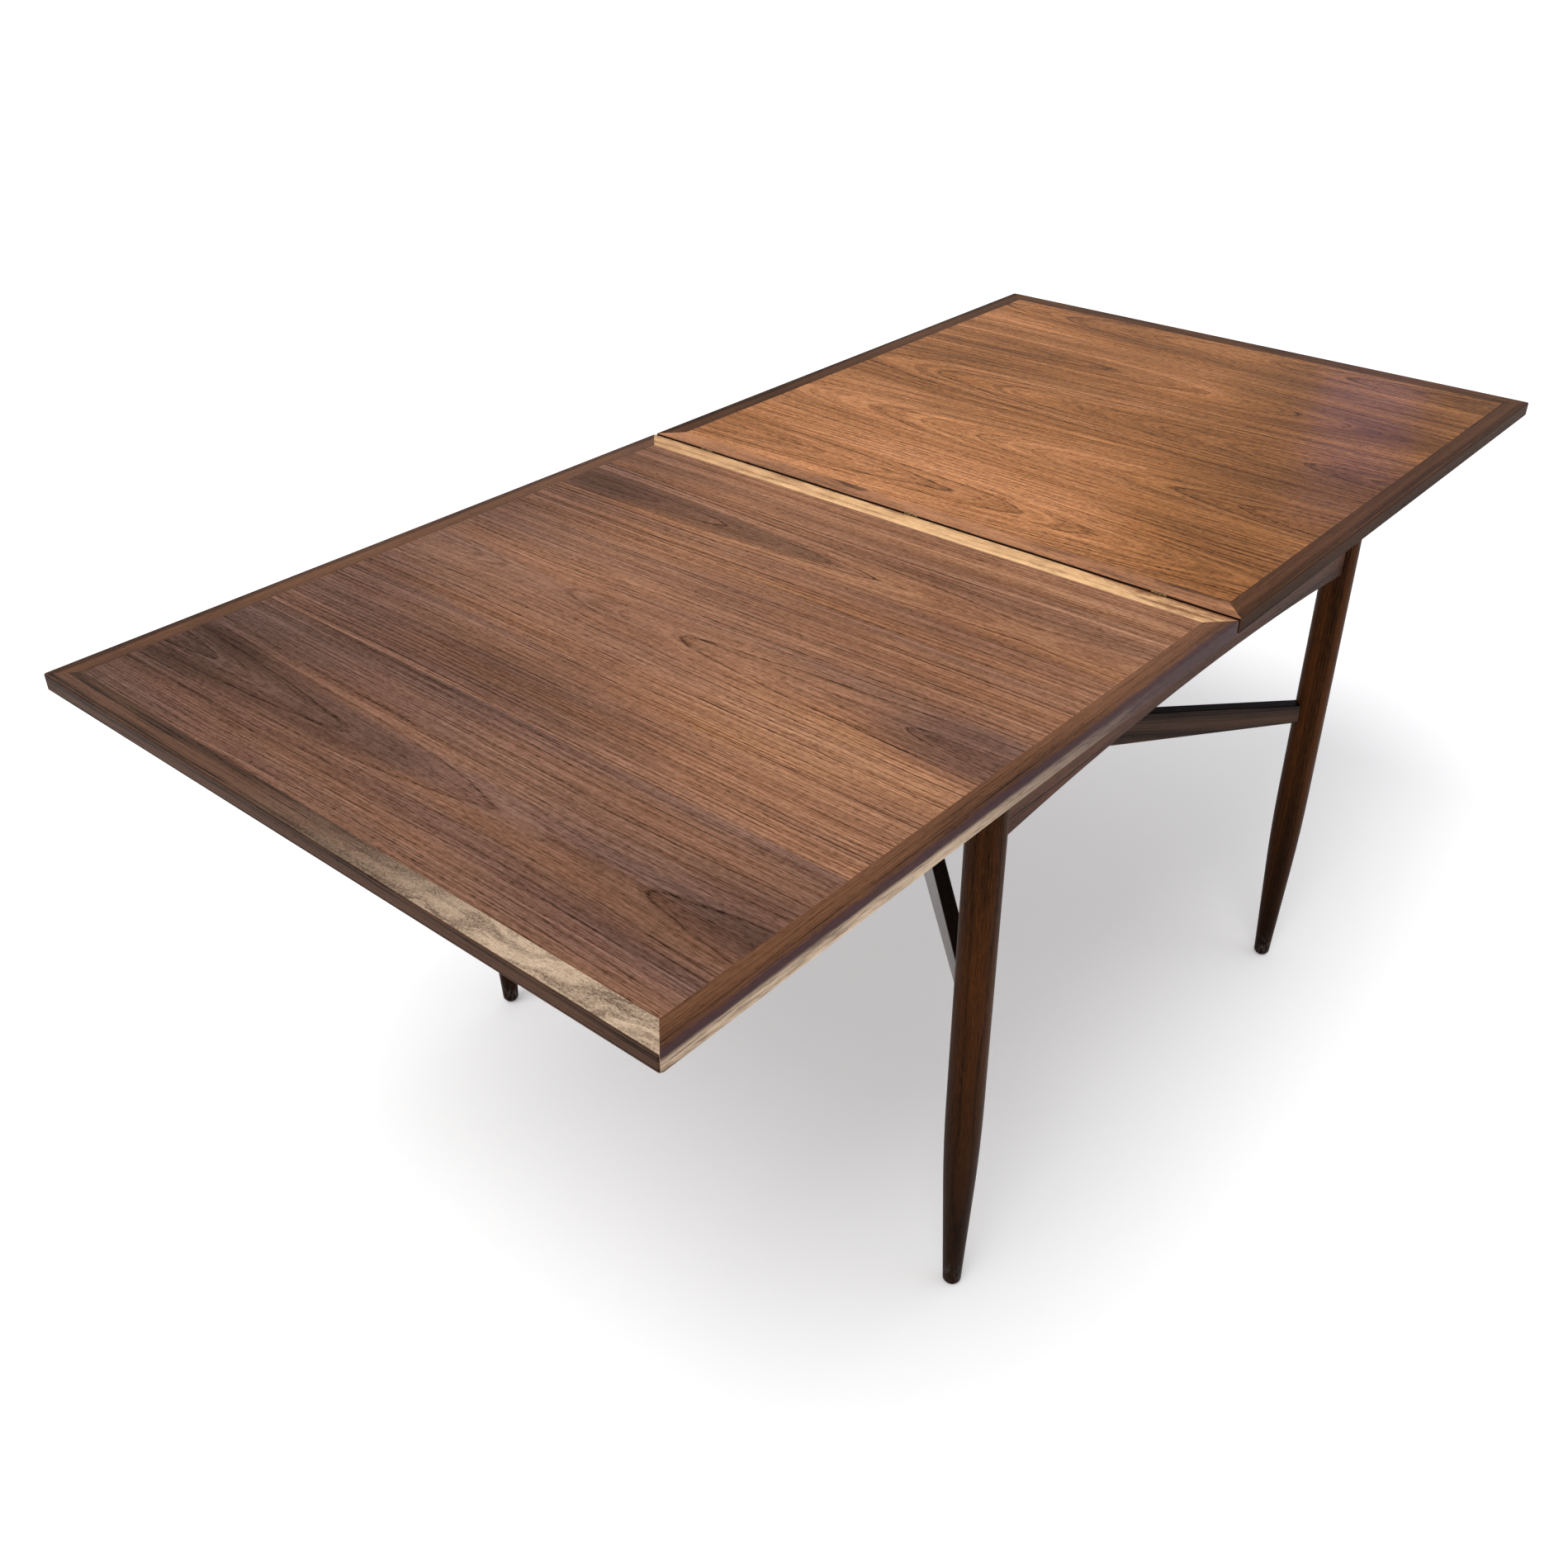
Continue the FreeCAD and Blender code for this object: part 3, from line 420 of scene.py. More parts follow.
def ring_tone(shade, count, fibre, slope=1.0, sure=0.0):
    """Late wood lines and broad bands over a count of rings. A low slope, where the rings lie nearly flat in
    the surface, keeps the lines thin there, and a ring is full where it is sure."""
    edge = (count + 0.25 * fibre).fraction()
    line = shade.peak(edge, LINE_END - LINE_WIDTH * slope, LINE_END)
    strength = shade.ease(shade.line_noise(count * 0.83), 0.35, 0.68).at_least(sure)
    fine = shade.peak((count * FINE_LINES + 0.5 * fibre).fraction(), 0.55, 0.95)
    band = shade.line_noise(count * 0.27 + 7.3, 2.0)
    return line * (0.25 + 0.75 * strength) + 0.22 * fine + 0.5 * strength * (edge - 0.5), band


# Strips of veneer on a leaf: where each starts along X, the middle of its arches, how they lean, where
# along Y they turn round, where the heart's tip lies, the heart's radius, how dark it is, how pale the
# strip is, how grey, and how strong its ring lines are.
FLIP_STRIPS = [
    (-0.880, -0.765, -0.060, -0.20, -0.115, 0.050, 0.7, 0.43, 0.60, 0.60),
    (-0.646, -0.417, -0.042, 0.22, -0.290, 0.042, 1.0, 0.53, 0.38, 1.10),
    (-0.266, -0.172, -0.056, -0.27, -0.098, 0.034, 0.9, 0.56, 0.28, 1.10),
    (-0.118, -0.330, -0.030, -0.20, -0.100, 0.050, 0.0, 0.56, 0.22, 1.00),
]
SLIDING_STRIPS = [
    (0.025, 0.095, -0.060, -0.60, -0.110, 0.060, 0.4, 0.58, 0.30, 0.80),
    (0.188, 0.283, -0.071, 0.60, -0.290, 0.040, 0.4, 0.52, 0.35, 0.80),
    (0.378, 0.471, -0.063, 0.60, -0.274, 0.044, 0.5, 0.48, 0.50, 0.80),
    (0.560, 0.642, -0.090, -0.60, -0.071, 0.042, 0.5, 0.51, 0.32, 0.80),
    (0.738, 0.837, -0.070, 0.60, -0.173, 0.050, 0.4, 0.52, 0.22, 0.80),
]
# Patches of veneer: the middle along X and Y, the reach along each, and how much paler (above 0) or
# darker the wood is there.
FLIP_PATCHES = [
    (-0.765, 0.370, 0.065, 0.100, -0.10),
    (-0.610, 0.100, 0.060, 0.330, -0.09),
    (-0.510, -0.270, 0.080, 0.300, 0.15),
    (-0.185, 0.370, 0.060, 0.090, -0.10),
    (-0.450, 0.600, 0.900, 0.450, -0.16),
    (-0.300, -0.330, 0.350, 0.400, 0.04),
    (-0.418, -0.390, 0.060, 0.160, -0.22),
]
SLIDING_PATCHES = [
    (0.250, -0.380, 0.340, 0.280, -0.19),
    (0.130, 0.080, 0.160, 0.420, 0.12),
    (0.800, -0.280, 0.300, 0.300, -0.15),
    (0.880, 0.000, 0.200, 0.380, -0.13),
    (0.600, -0.330, 0.420, 0.340, -0.12),
]
TURN_SOFTNESS = 0.05


def patches(shade, x, y, places):
    """Sum of the soft patches at a place on a leaf."""
    total = 0.0
    for middle_x, middle_y, reach_x, reach_y, amount in places:
        far_x, far_y = (x - middle_x) / reach_x, (y - middle_y) / reach_y
        total = total + shade.ease(far_x * far_x + far_y * far_y, 0.0, 1.0, amount, 0.0)
    return total


def veneer(name, leaf, field, strips, places, settings):
    """Crown-cut veneer laid in strips across a leaf, with its grain along Y."""

    def setting(part):
        return getattr(settings, leaf + "_" + part)

    def figure(mark, layer, detail, rough=0.5):
        """One of the veneer's marks, round 0."""
        across, along, strength = mark
        return strength * (shade.noise(x * across, y * along, layer, detail, rough) - 0.5)

    def growth(distance):
        return distance * (1.0 + NARROWING * distance)

    material, shade = new_finish(name)
    light, warm, cool, dark, heart_colour = (tuple(setting(part)) for part in
                                             ("light", "warm", "cool", "dark", "heart"))
    x, y, _ = shade.place()

    # What each strip says, read back from ramps across the leaf. Places are shifted to be above 0 there.
    start, reach = field[0].x, field[1].x - field[0].x
    arch_stops, heart_stops, tone_stops = [], [], []
    for strip_start, centre, lean, turn, tip, radius, heart, tone, grey, crisp in strips:
        at = max(0.0, (strip_start - start) / reach)
        bow = math.hypot(tip - turn, TURN_SOFTNESS)
        arch_stops.append((at, (centre + 1.0, lean + 0.5, turn + 1.0)))
        heart_stops.append((at, (radius, heart, bow)))
        tone_stops.append((at, (tone, grey, crisp)))
    (centre, lean, turn), (radius, heart, bow), (tone, grey, crisp) = (
        shade.split(shade.ramp((x - start) / reach, stops, "CONSTANT"))
        for stops in (arch_stops, heart_stops, tone_stops))
    centre, lean, turn = centre - 1.0, lean - 0.5, turn - 1.0

    # Rings round the pith, which runs out of the surface where the arches turn.
    own = centre * 31.0
    first = own.whole()
    side = x - centre + figure(WANDER, own, 2.0)
    past = y - turn
    depth = radius + lean * ((past * past + TURN_SOFTNESS ** 2) ** 0.5 - bow) + figure(RISE, own + 4.0, 2.0)
    pith = (side * side + depth * depth) ** 0.5
    count = (growth(pith) - growth(radius)) / setting("ring") + first - (1.0 - LINE_END)
    slope = (side * side + (lean * depth) * (lean * depth)) ** 0.5 / pith
    heart_line = abs(count - first + (1.0 - LINE_END + LINE_WIDTH / 2))
    fibre, pore = streaks(shade, y, x, 0.0)
    line, band = ring_tone(shade, count, fibre, slope, shade.ease(heart_line, 0.2, 0.9, 1.0, 0.0))

    # Colour, from warm to greyish, and darker in the hearts.
    cloud = figure(CLOUD, 3.1, 3.0)
    patch = patches(shade, x, y, places)
    tint = tone + patch + 0.38 * (0.5 - band) - cloud
    between = tuple((a + b) / 2 for a, b in zip(light, cool))
    warm_wood = shade.ramp(tint, [(0.0, dark), (0.45, warm), (1.0, light)])
    cool_wood = shade.ramp(tint, [(0.0, dark), (0.45, cool), (1.0, between)])
    greyness = grey + figure(FLAME, own + 2.0, 3.0) - 1.6 * patch
    wood = shade.mix(greyness.bounded(), warm_wood, cool_wood)
    inside = heart * shade.ease(pith, radius * 0.85, radius * 1.02, 0.8, 0.0)
    wood = shade.mix((inside * (0.7 + 0.8 * (band - 0.3))).bounded(), wood,
                     shade.ramp(tint, [(0.0, dark), (0.6, heart_colour)]))

    # Fine marks on top.
    sheaf = shade.noise(count * 3.4, y * 0.9, own + 6.0, 3.0, 0.6)
    detail = ((0.9 + 0.6 * slope) * (0.5 - sheaf) - figure(STRIPE, own, 4.0, 0.68) + 1.2 * (0.5 - fibre)
              - figure(DASH, 5.2, 1.0) - figure(SPECK, 1.7, 3.0, 0.7)
              + 0.54 * crisp * (0.1 - line) + 0.30 * (0.08 - pore))
    wood = shade.mix(1.0, wood, shade.streak(0.89 + setting("figure") * detail), "MULTIPLY")
    rough = setting("roughness") + 0.10 / CLOUD[2] * cloud + 0.08 * pore
    shade.surface(wood, rough, 0.6 * fibre - pore - 0.3 * line, 0.00012, Specular_IOR_Level=setting("gloss"))
    return material


def timber(name, grain, pith, colours, settings, touch=None, turn=0.0, sheen=1.0, polish=None, fleck=1.0):
    """Solid wood with its grain along one axis and its pith at a place across the other two. A touch changes
    its colour in places, and a polish gives it a coat."""
    material, shade = new_finish(name)
    x, y, z = shade.place()
    if turn:
        x, y = x * math.cos(turn) + y * math.sin(turn), y * math.cos(turn) - x * math.sin(turn)
    along, across, up = {"X": (x, y, z), "Y": (y, x, z), "Z": (z, x, y)}[grain]
    bend = marks(shade, BEND, along, across, up, 2.0) - 0.5
    fibre, pore = streaks(shade, along * fleck, across, up)
    side = across - pith[0] + 0.012 * bend
    height = up - pith[1] + 0.010 * bend
    count = (side * side + height * height) ** 0.5 / settings.ring
    line, band = ring_tone(shade, count, fibre)
    cloud = marks(shade, TIMBER_CLOUD, along, across, up, 3.0)
    level = 0.61 + 1.2 * (0.5 - band) + 1.2 * (0.5 - cloud) + 1.4 * (0.5 - fibre) - 0.4 * line - 0.25 * pore
    wood = shade.ramp(level, dark_to_light(colours))
    if touch is not None:
        wood = touch(shade, wood, level, (x, y, z))
    rough = settings.roughness + 0.12 * (cloud - 0.5) + 0.10 * pore
    coat = polish(shade, z) if polish is not None else 0.0
    shade.surface(wood, rough, 0.7 * fibre - pore - 0.3 * line, 0.00015, Coat_Weight=coat, Coat_Roughness=0.3,
                  Specular_IOR_Level=sheen * settings.gloss)
    return material


def pair(settings, name):
    """The light and the dark colour of a wood."""
    return tuple(getattr(settings, name + "_light")), tuple(getattr(settings, name + "_dark"))


def dark_to_light(colours):
    """Stops for plain wood."""
    light, dark = colours
    return [(0.0, dark), (1.0, light)]


def sap_streaks(colours):
    """Stops for sapwood, which is mostly light."""
    light, dark = colours
    return [(0.1, dark), (0.6, tuple((a + 2 * b) / 3 for a, b in zip(dark, light))), (1.0, light)]


class TABLE_OT_veneers(bpy.types.Operator):
    """Finish the veneered fields and the undersides of both leaves"""

    bl_idname = "flip_table.veneers"
    bl_label = "Veneers"

    def execute(self, context):
        settings = context.scene.flip_table_veneers
        for leaf, field, strips, places in (("flip", FLIP_FIELD, FLIP_STRIPS, FLIP_PATCHES),
                                            ("sliding", SLIDING_FIELD, SLIDING_STRIPS, SLIDING_PATCHES)):
            dress(veneer(leaf.capitalize() + " leaf veneer", leaf, field, strips, places, settings),
                  [leaf + "_leaf_face_veneer"])
        dress(timber("Underside veneer", "Y", (0.30, 0.40), pair(settings, "back"),
                     context.scene.flip_table_timbers),
              like("flip_leaf_back", "sliding_leaf_back"))
        return {"FINISHED"}


class TABLE_OT_lippings(bpy.types.Operator):
    """Finish the eight lippings, with sapwood where the boards have it, and painted shade in the gap and on
    their outer faces
    """

    bl_idname = "flip_table.lippings"
    bl_label = "Lippings"

    def execute(self, context):
        settings = context.scene.flip_table_timbers
        walnut, far, end, joint = (pair(settings, name) for name in ("lipping", "far", "end", "joint"))
        gold, pale = (sap_streaks(pair(settings, name)) for name in ("gold", "sap"))
        # painted_shade is the gap colour, painted as shade in the gap and on the lippings' outer faces.
        border, painted_shade = tuple(settings.sap_border), tuple(settings.gap)

        def hinge_sap_and_gap_shade(shade, wood, level, spot):
            mottle = shade.waver(spot, (60.0, 22.0, 60.0), 4.0, 0.65)
            place = spot[1] + 0.3 * mottle
            brown = (shade.ease(place, TOP_SIDE - 0.16, TOP_SIDE - 0.02, 0.0, 0.28)
                     + shade.ease(place, 0.03 - TOP_SIDE, 0.24 - TOP_SIDE, 0.34, 0.0))
            wood = shade.ramp(0.30 + 0.70 * level + 1.3 * mottle - brown, gold)
            # Painted shade: the face in the gap is darkened nearly to the gap colour, standing in for the
            # shadow in the gap.
            return shade.mix(shade.ease(spot[0], -HALF_GAP - 0.0002, -HALF_GAP, 0.0, 0.9), wood, painted_shade)

        def joint_edge_with_gap_shade(shade, wood, level, spot):
            wood = shade.ramp(1.5 * level - 0.24, dark_to_light(joint))
            # Painted shade: the face in the gap is darkened nearly to the gap colour, standing in for the
            # shadow in the gap.
            return shade.mix(shade.ease(spot[0], HALF_GAP, HALF_GAP + 0.0004, 0.95, 0.0), wood, painted_shade)

        def end_sap_and_face_shade(shade, wood, level, spot):
            x, y, z = spot
            across = x + TOP_END
            warp = shade.noise(x * 30.0, y * 14.0, 2.6, 2.0) - 0.5
            slant = across + 0.22 * y + 0.055 * warp
            swirl = shade.waver((slant, y, z), (95.0, 12.0, 60.0), 4.0, 0.6)
            speck = shade.waver(spot, (800.0, 400.0, 800.0), 2.0, 0.7)
            grain = shade.waver(spot, (240.0, 5.0, 240.0), 4.0, 0.7)
            bend = marks(shade, BEND, y, x, z, 2.0) - 0.5
            line = shade.peak((slant / 0.011).fraction(), 0.55, 0.95)
            olive = shade.ease(y + 0.2 * warp, -0.36, 0.06, 0.0, 0.34)
            tone = 0.40 + 0.20 * level + 1.6 * swirl + 1.2 * speck - 0.10 * line - olive
            inner = shade.ease(y + 2.6 * across + 0.30 * bend + 0.2 * swirl, -0.21, 0.17, 1.0, 0.0)
            on_top = shade.ease(across, *OUTER_EDGE)
            wood = shade.ramp(1.2 * level - 0.30 - 2.4 * grain, dark_to_light(end))
            # Painted shade: the outer end face is darkened towards the gap colour, as if it got less light.
            wood = shade.mix(shade.ease(across, *OUTER_EDGE, 0.35, 0.0), wood, painted_shade)
            return shade.mix(inner * on_top * 0.95, wood, shade.ramp(tone, pale))

        def painted_side_shade(shade, wood, level, spot):
            # Painted shade: the outer side face is darkened well towards the gap colour, and the top a little,
            # as if the side got less light.
            inwards = TOP_SIDE - abs(spot[1])
            return shade.mix(shade.ease(inwards, *OUTER_EDGE, 0.58, 0.12), wood, painted_shade)

        def right_sap(shade, wood, level, spot):
            x, y, z = spot
            ragged = shade.waver(spot, (26.0, 60.0, 300.0), 4.0, 0.7)
            inwards = y + TOP_SIDE
            purple = shade.ease(inwards + 0.012 * ragged, 0.0010, 0.0075, 0.85, 0.0)
            outer = shade.ease(inwards, 0.0006, 0.0026, 1.0, 0.0)
            reach = shade.ease(x + 0.5 * ragged, -0.56, -0.16, 1.0, 0.0)
            low = shade.ease(z - UNDERSIDE_Z + 0.007 * ragged, 0.0100, 0.0160, 1.0, 0.0)
            wood = shade.mix(purple, wood, border)
            return shade.mix(low * outer * reach, wood, shade.ramp(0.30 + 0.5 * level + 2.0 * ragged, pale))

        side_pith = (0.0, TOP_Z - 0.11)
        boards = [
            ("Flip leaf hinge lipping", "Y", (-0.06, 0.66), walnut, hinge_sap_and_gap_shade, 1.0, ["flip_leaf_hinge"]),
            ("Flip leaf end lipping", "Y", (-0.84, 0.67), walnut, end_sap_and_face_shade, 1.0, ["flip_leaf_end"]),
            ("Flip leaf right lipping", "X", (-0.40, 0.68), walnut, right_sap, 1.0, ["flip_leaf_right"]),
            ("Flip leaf left lipping", "X", side_pith, walnut, painted_side_shade, 1.0, ["flip_leaf_left"]),
            ("Sliding leaf side lippings", "X", side_pith, far, painted_side_shade, DULL,
             ["sliding_leaf_left", "sliding_leaf_right"]),
            ("Sliding leaf hinge lipping", "Y", (0.03, 0.62), joint, joint_edge_with_gap_shade, 1.0, ["sliding_leaf_hinge"]),
            ("Sliding leaf end lipping", "Y", (0.87, 0.62), far, None, DULL, ["sliding_leaf_end"]),
        ]
        for name, grain, pith, colours, touch, sheen, places in boards:
            dress(timber(name, grain, pith, colours, settings, touch, sheen=sheen),
                  [place + "_lipping" for place in places])
        return {"FINISHED"}


class TABLE_OT_base(bpy.types.Operator):
    """Finish the legs, aprons and stretchers, with painted shade towards the feet and on the stretchers' tops
    """

    bl_idname = "flip_table.base"
    bl_label = "Base"

    def execute(self, context):
        settings = context.scene.flip_table_timbers
        leg, apron, bar = (pair(settings, name) for name in ("base", "apron", "stretcher"))
        dust = tuple(settings.dust)
        turn = math.atan2(LEG[0].y + LEG[1].y, LEG[0].x + LEG[1].x)

        def shaded_foot_and_scuffs(shade, wood, level, spot):
            height = spot[2]
            # Painted shade: the leg is darkened towards the dark wood colour lower down, most at the foot. The
            # scuffs below are real wear.
            wood = shade.mix(shade.ease(height, 0.0, 0.55, 0.75, 0.0), wood, leg[1])
            scuff = shade.waver(spot, (260.0, 260.0, 90.0), 4.0, 0.7)
            worn = shade.ease(height, 0.008, 0.055, 0.6, 0.0) * shade.ease(scuff, -0.04, 0.16)
            return shade.mix(worn, wood, dust)

        def shaded_top(shade, wood, level, spot):
            # Painted shade: the top face of a stretcher, under the table top, is darkened towards the dark wood
            # colour.
            return shade.mix(shade.ease(spot[2], *BAR_EDGE, 0.0, 0.85), wood, bar[1])

        def polished_sides(weight):
            return lambda shade, height: shade.ease(height, *BAR_EDGE, weight, 0.0)

        dress(timber("Leg walnut", "Z", (0.03, 0.01), leg, settings, shaded_foot_and_scuffs, fleck=5.0), like("leg_"))
        for side, grain in (("Side", "X"), ("End", "Y")):
            dress(timber(side + " apron walnut", grain, (0.0, 0.52), apron, settings),
                  like(side.lower() + "_apron"))
        for level, pith, angle, weight in (("Lower", (0.02, 0.30), turn, 0.85),
                                           ("Upper", (-0.03, 0.31), -turn, 0.20)):
            dress(timber(level + " stretcher walnut", "X", pith, bar, settings, shaded_top, angle,
                         polish=polished_sides(weight)),
                  ["stretcher_" + level.lower()])
        return {"FINISHED"}


class TABLE_OT_inner_woods(bpy.types.Operator):
    """Finish the core boards, corner blocks, slide and dowels"""

    bl_idname = "flip_table.inner_woods"
    bl_label = "Inner woods"

    def execute(self, context):
        settings = context.scene.flip_table_timbers
        dress(timber("Beech along", "X", (0.0, 0.60), pair(settings, "beech"), settings),
              like("guide_rail", "runner_left", "runner_right", "corner_block_flip", "corner_block_slide",
                   "apron_dowels", "stretcher_dowels", "slide_stop_pegs"))
        material, shade = new_finish("Core board")
        crumb = shade.grit(420.0, 3.0)
        core = tuple(settings.core)
        shade.surface(shade.ramp(crumb, [(0.25, tuple(0.45 * part for part in core)), (0.6, core)]), 0.8, crumb,
                      0.0004)
        dress(material, ["flip_leaf_core", "sliding_leaf_core"])
        return {"FINISHED"}


# Fittings that are modelled afresh. Each is shaped once, standing on the origin along Z, and then copied to
# the places where its node has solids.

UP = Vector((0.0, 0.0, 1.0))
# Points nearer than this are in one place.
HERE = 0.00001
# An outline is straight where its slope changes by less.
STRAIGHT = 0.05
SMOOTH_ANGLE = math.radians(35.0)
SCREW_SIDES = 28
# How far each screw's slot is turned past the one before, in radians.
SCREW_TURN = 1.1
BOLT_SIDES = 24
NUT_SIDES = 6
GLIDE_SIDES = 32
FELT_STEP = 0.006
NAP_SIZE = 0.004


def select(*pieces):
    """Select these pieces alone, and make the first one active."""
    bpy.ops.object.select_all(action="DESELECT")
    for piece in pieces:
        piece.select_set(True)
    if pieces:
        bpy.context.view_layer.objects.active = pieces[0]


def fresh(primitive, **sizes):
    """Start a piece from a primitive, with nothing else selected, and open it for editing."""
    select()
    primitive(**sizes)
    bpy.ops.object.mode_set(mode="EDIT")
    return bpy.context.active_object


def disc(sides, radius):
    """Start a turned piece from its flat end."""
    return fresh(bpy.ops.mesh.primitive_circle_add, vertices=sides, radius=radius, fill_type="NGON")


def pull(distance, scale=1.0):
    """Extrude the selected end upwards, and widen or narrow it."""
    bpy.ops.mesh.extrude_region_move(TRANSFORM_OT_translate={"value": (0.0, 0.0, distance)})
    bpy.ops.transform.resize(value=(scale, scale, 1.0))


def pick(piece, chosen):
    """Select the edges whose two ends a test chooses."""
    bpy.ops.mesh.select_mode(type="EDGE")
    bpy.ops.mesh.select_all(action="DESELECT")
    shape = bmesh.from_edit_mesh(piece.data)
    for edge in shape.edges:
        edge.select_set(chosen(edge.verts[0].co, edge.verts[1].co))
    bmesh.update_edit_mesh(piece.data)


def round_levels(piece, levels, width, segments=2):
    """Round the edges that lie all at one of these heights."""
    for level in levels:
        pick(piece, lambda a, b: abs(a.z - level) < HERE and abs(b.z - level) < HERE)
        bpy.ops.mesh.bevel(offset=width, segments=segments, affect="EDGES")


def close_up(piece):
    """Merge doubled points, turn the faces outwards and leave edit mode."""
    bpy.ops.mesh.select_all(action="SELECT")
    bpy.ops.mesh.remove_doubles(threshold=HERE)
    bpy.ops.mesh.normals_make_consistent(inside=False)
    bpy.ops.object.mode_set(mode="OBJECT")


def cut(piece, cutter):
    """Cut a piece with another, which is then gone."""
    bpy.ops.object.mode_set(mode="OBJECT")
    change = piece.modifiers.new("Cut", "BOOLEAN")
    change.operation = "DIFFERENCE"
    change.object = cutter
    bpy.context.view_layer.objects.active = piece
    bpy.ops.object.modifier_apply(modifier=change.name)
    bpy.data.objects.remove(cutter)


def node_solids(name):
    """The corner points of each solid of a node."""
    shape = bmesh.new()
    shape.from_mesh(NODES[name].data)
    bmesh.ops.remove_doubles(shape, verts=shape.verts, dist=HERE / 10)
    left = set(shape.verts)
    groups = []
    for first in shape.verts:
        if first not in left:
            continue
        left.remove(first)
        group = [first]
        for vert in group:
            for edge in vert.link_edges:
                other = edge.other_vert(vert)
                if other in left:
                    left.remove(other)
                    group.append(other)
        groups.append([vert.co.copy() for vert in group])
    shape.free()
    if not groups:
        raise RuntimeError("no solid in " + name)
    return groups


def middle_of(points):
    """Middle of the box round these points."""
    return Vector([(min(values) + max(values)) / 2 for values in zip(*points)])


def reach_along(points, direction):
    """Half the length of a solid along a direction through its middle."""
    middle = middle_of(points)
    return max(abs((point - middle).dot(direction)) for point in points)


def outline(points, direction):
    """Heights and radii of a turned solid, apart from those on a straight line between others."""
    start = middle_of(points) - direction * reach_along(points, direction)
    widest = {}
    for point in points:
        height = (point - start).dot(direction)
        radius = (point - start - direction * height).length
        level = round(height, 5)
        widest[level] = max(widest.get(level, 0.0), radius)
    rows = sorted(widest.items())
    kept = rows[:1]
    for below, row, above in zip(rows, rows[1:], rows[2:]):
        lower = (row[1] - below[1]) / (row[0] - below[0])
        upper = (above[1] - row[1]) / (above[0] - row[0])
        if abs(upper - lower) > STRAIGHT:
            kept.append(row)
    return kept + rows[-1:]


def screw_direction(points):
    """From a screw's head, which has a ring of points, to its single tip."""
    axis = max((Vector(unit) for unit in ((1, 0, 0), (0, 1, 0), (0, 0, 1))),
               key=lambda unit: reach_along(points, unit))
    middle, reach = middle_of(points), reach_along(points, axis)
    at_end = sum((point - middle).dot(axis) > reach - HERE for point in points)
    at_start = sum((point - middle).dot(axis) < HERE - reach for point in points)
    return axis if at_start > at_end else -axis


def half_height(points):
    """Radius of a level bolt."""
    return max(point.z for point in points) - middle_of(points).z


def corner_direction(points):
    """Level, from a corner of the base towards its middle."""
    middle = middle_of(points)
    return Vector((-math.copysign(1.0, middle.x), -math.copysign(1.0, middle.y), 0.0)).normalized()


def set_in(model, name, node, body, material, direction_of, turn=0.0):
    """Copy a model to each solid of a node, as one piece that stands for the node."""
    copies = []
    for index, points in enumerate(node_solids(node)):
        direction = direction_of(points)
        start = middle_of(points) - direction * reach_along(points, direction)
        place = Matrix.Translation(start) @ UP.rotation_difference(direction).to_matrix().to_4x4()
        mesh = model.data.copy()
        mesh.transform(place @ Matrix.Rotation(turn * index, 4, "Z"))
        copies.append(bpy.data.objects.new(name, mesh))
        bpy.context.scene.collection.objects.link(copies[-1])
    select(*copies)
    if len(copies) > 1:
        bpy.ops.object.join()
    finish_piece(copies[0], node, body, material)


def finish_piece(piece, node, body, material):
    """Give a modelled piece its finish and its body, and hide the node that it stands for."""
    select(piece)
    bpy.ops.object.shade_smooth_by_angle(angle=SMOOTH_ANGLE)
    cover(piece, material)
    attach(piece, body)
    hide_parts(node)


def metal(name, colour, worn, roughness, metallic):
    """Metal with a worn patina and fine scratches."""
    material, shade = new_finish(name)
    patch = shade.grit(260.0, 4.0)
    scratch = shade.waver(shade.place(), (3000.0, 500.0, 3000.0), 1.0)
    tone = shade.ramp(patch + 0.2 * scratch, [(0.40, colour), (0.72, worn)])
    shade.surface(tone, roughness + 0.25 * (patch - 0.5) + 0.1 * scratch, scratch, 0.00004, Metallic=metallic)
    return material


def zinc(settings):
    """Plate of the screws, bolts and nuts."""
    plate = tuple(settings.zinc)
    return metal("Zinc plate", plate, tuple(0.7 * part for part in plate), 0.38, 1.0)


class TABLE_OT_hinges(bpy.types.Operator):
    """Finish the hinge plates and pins"""

    bl_idname = "flip_table.hinges"
    bl_label = "Hinges"

    def execute(self, context):
        settings = context.scene.flip_table_fittings
        dress(metal("Aged brass", tuple(settings.brass), tuple(settings.brass_worn), 0.48, 0.8),
              like("hinge_pins", "flip_leaf_hinge_plates", "sliding_leaf_hinge_plates"))
        return {"FINISHED"}


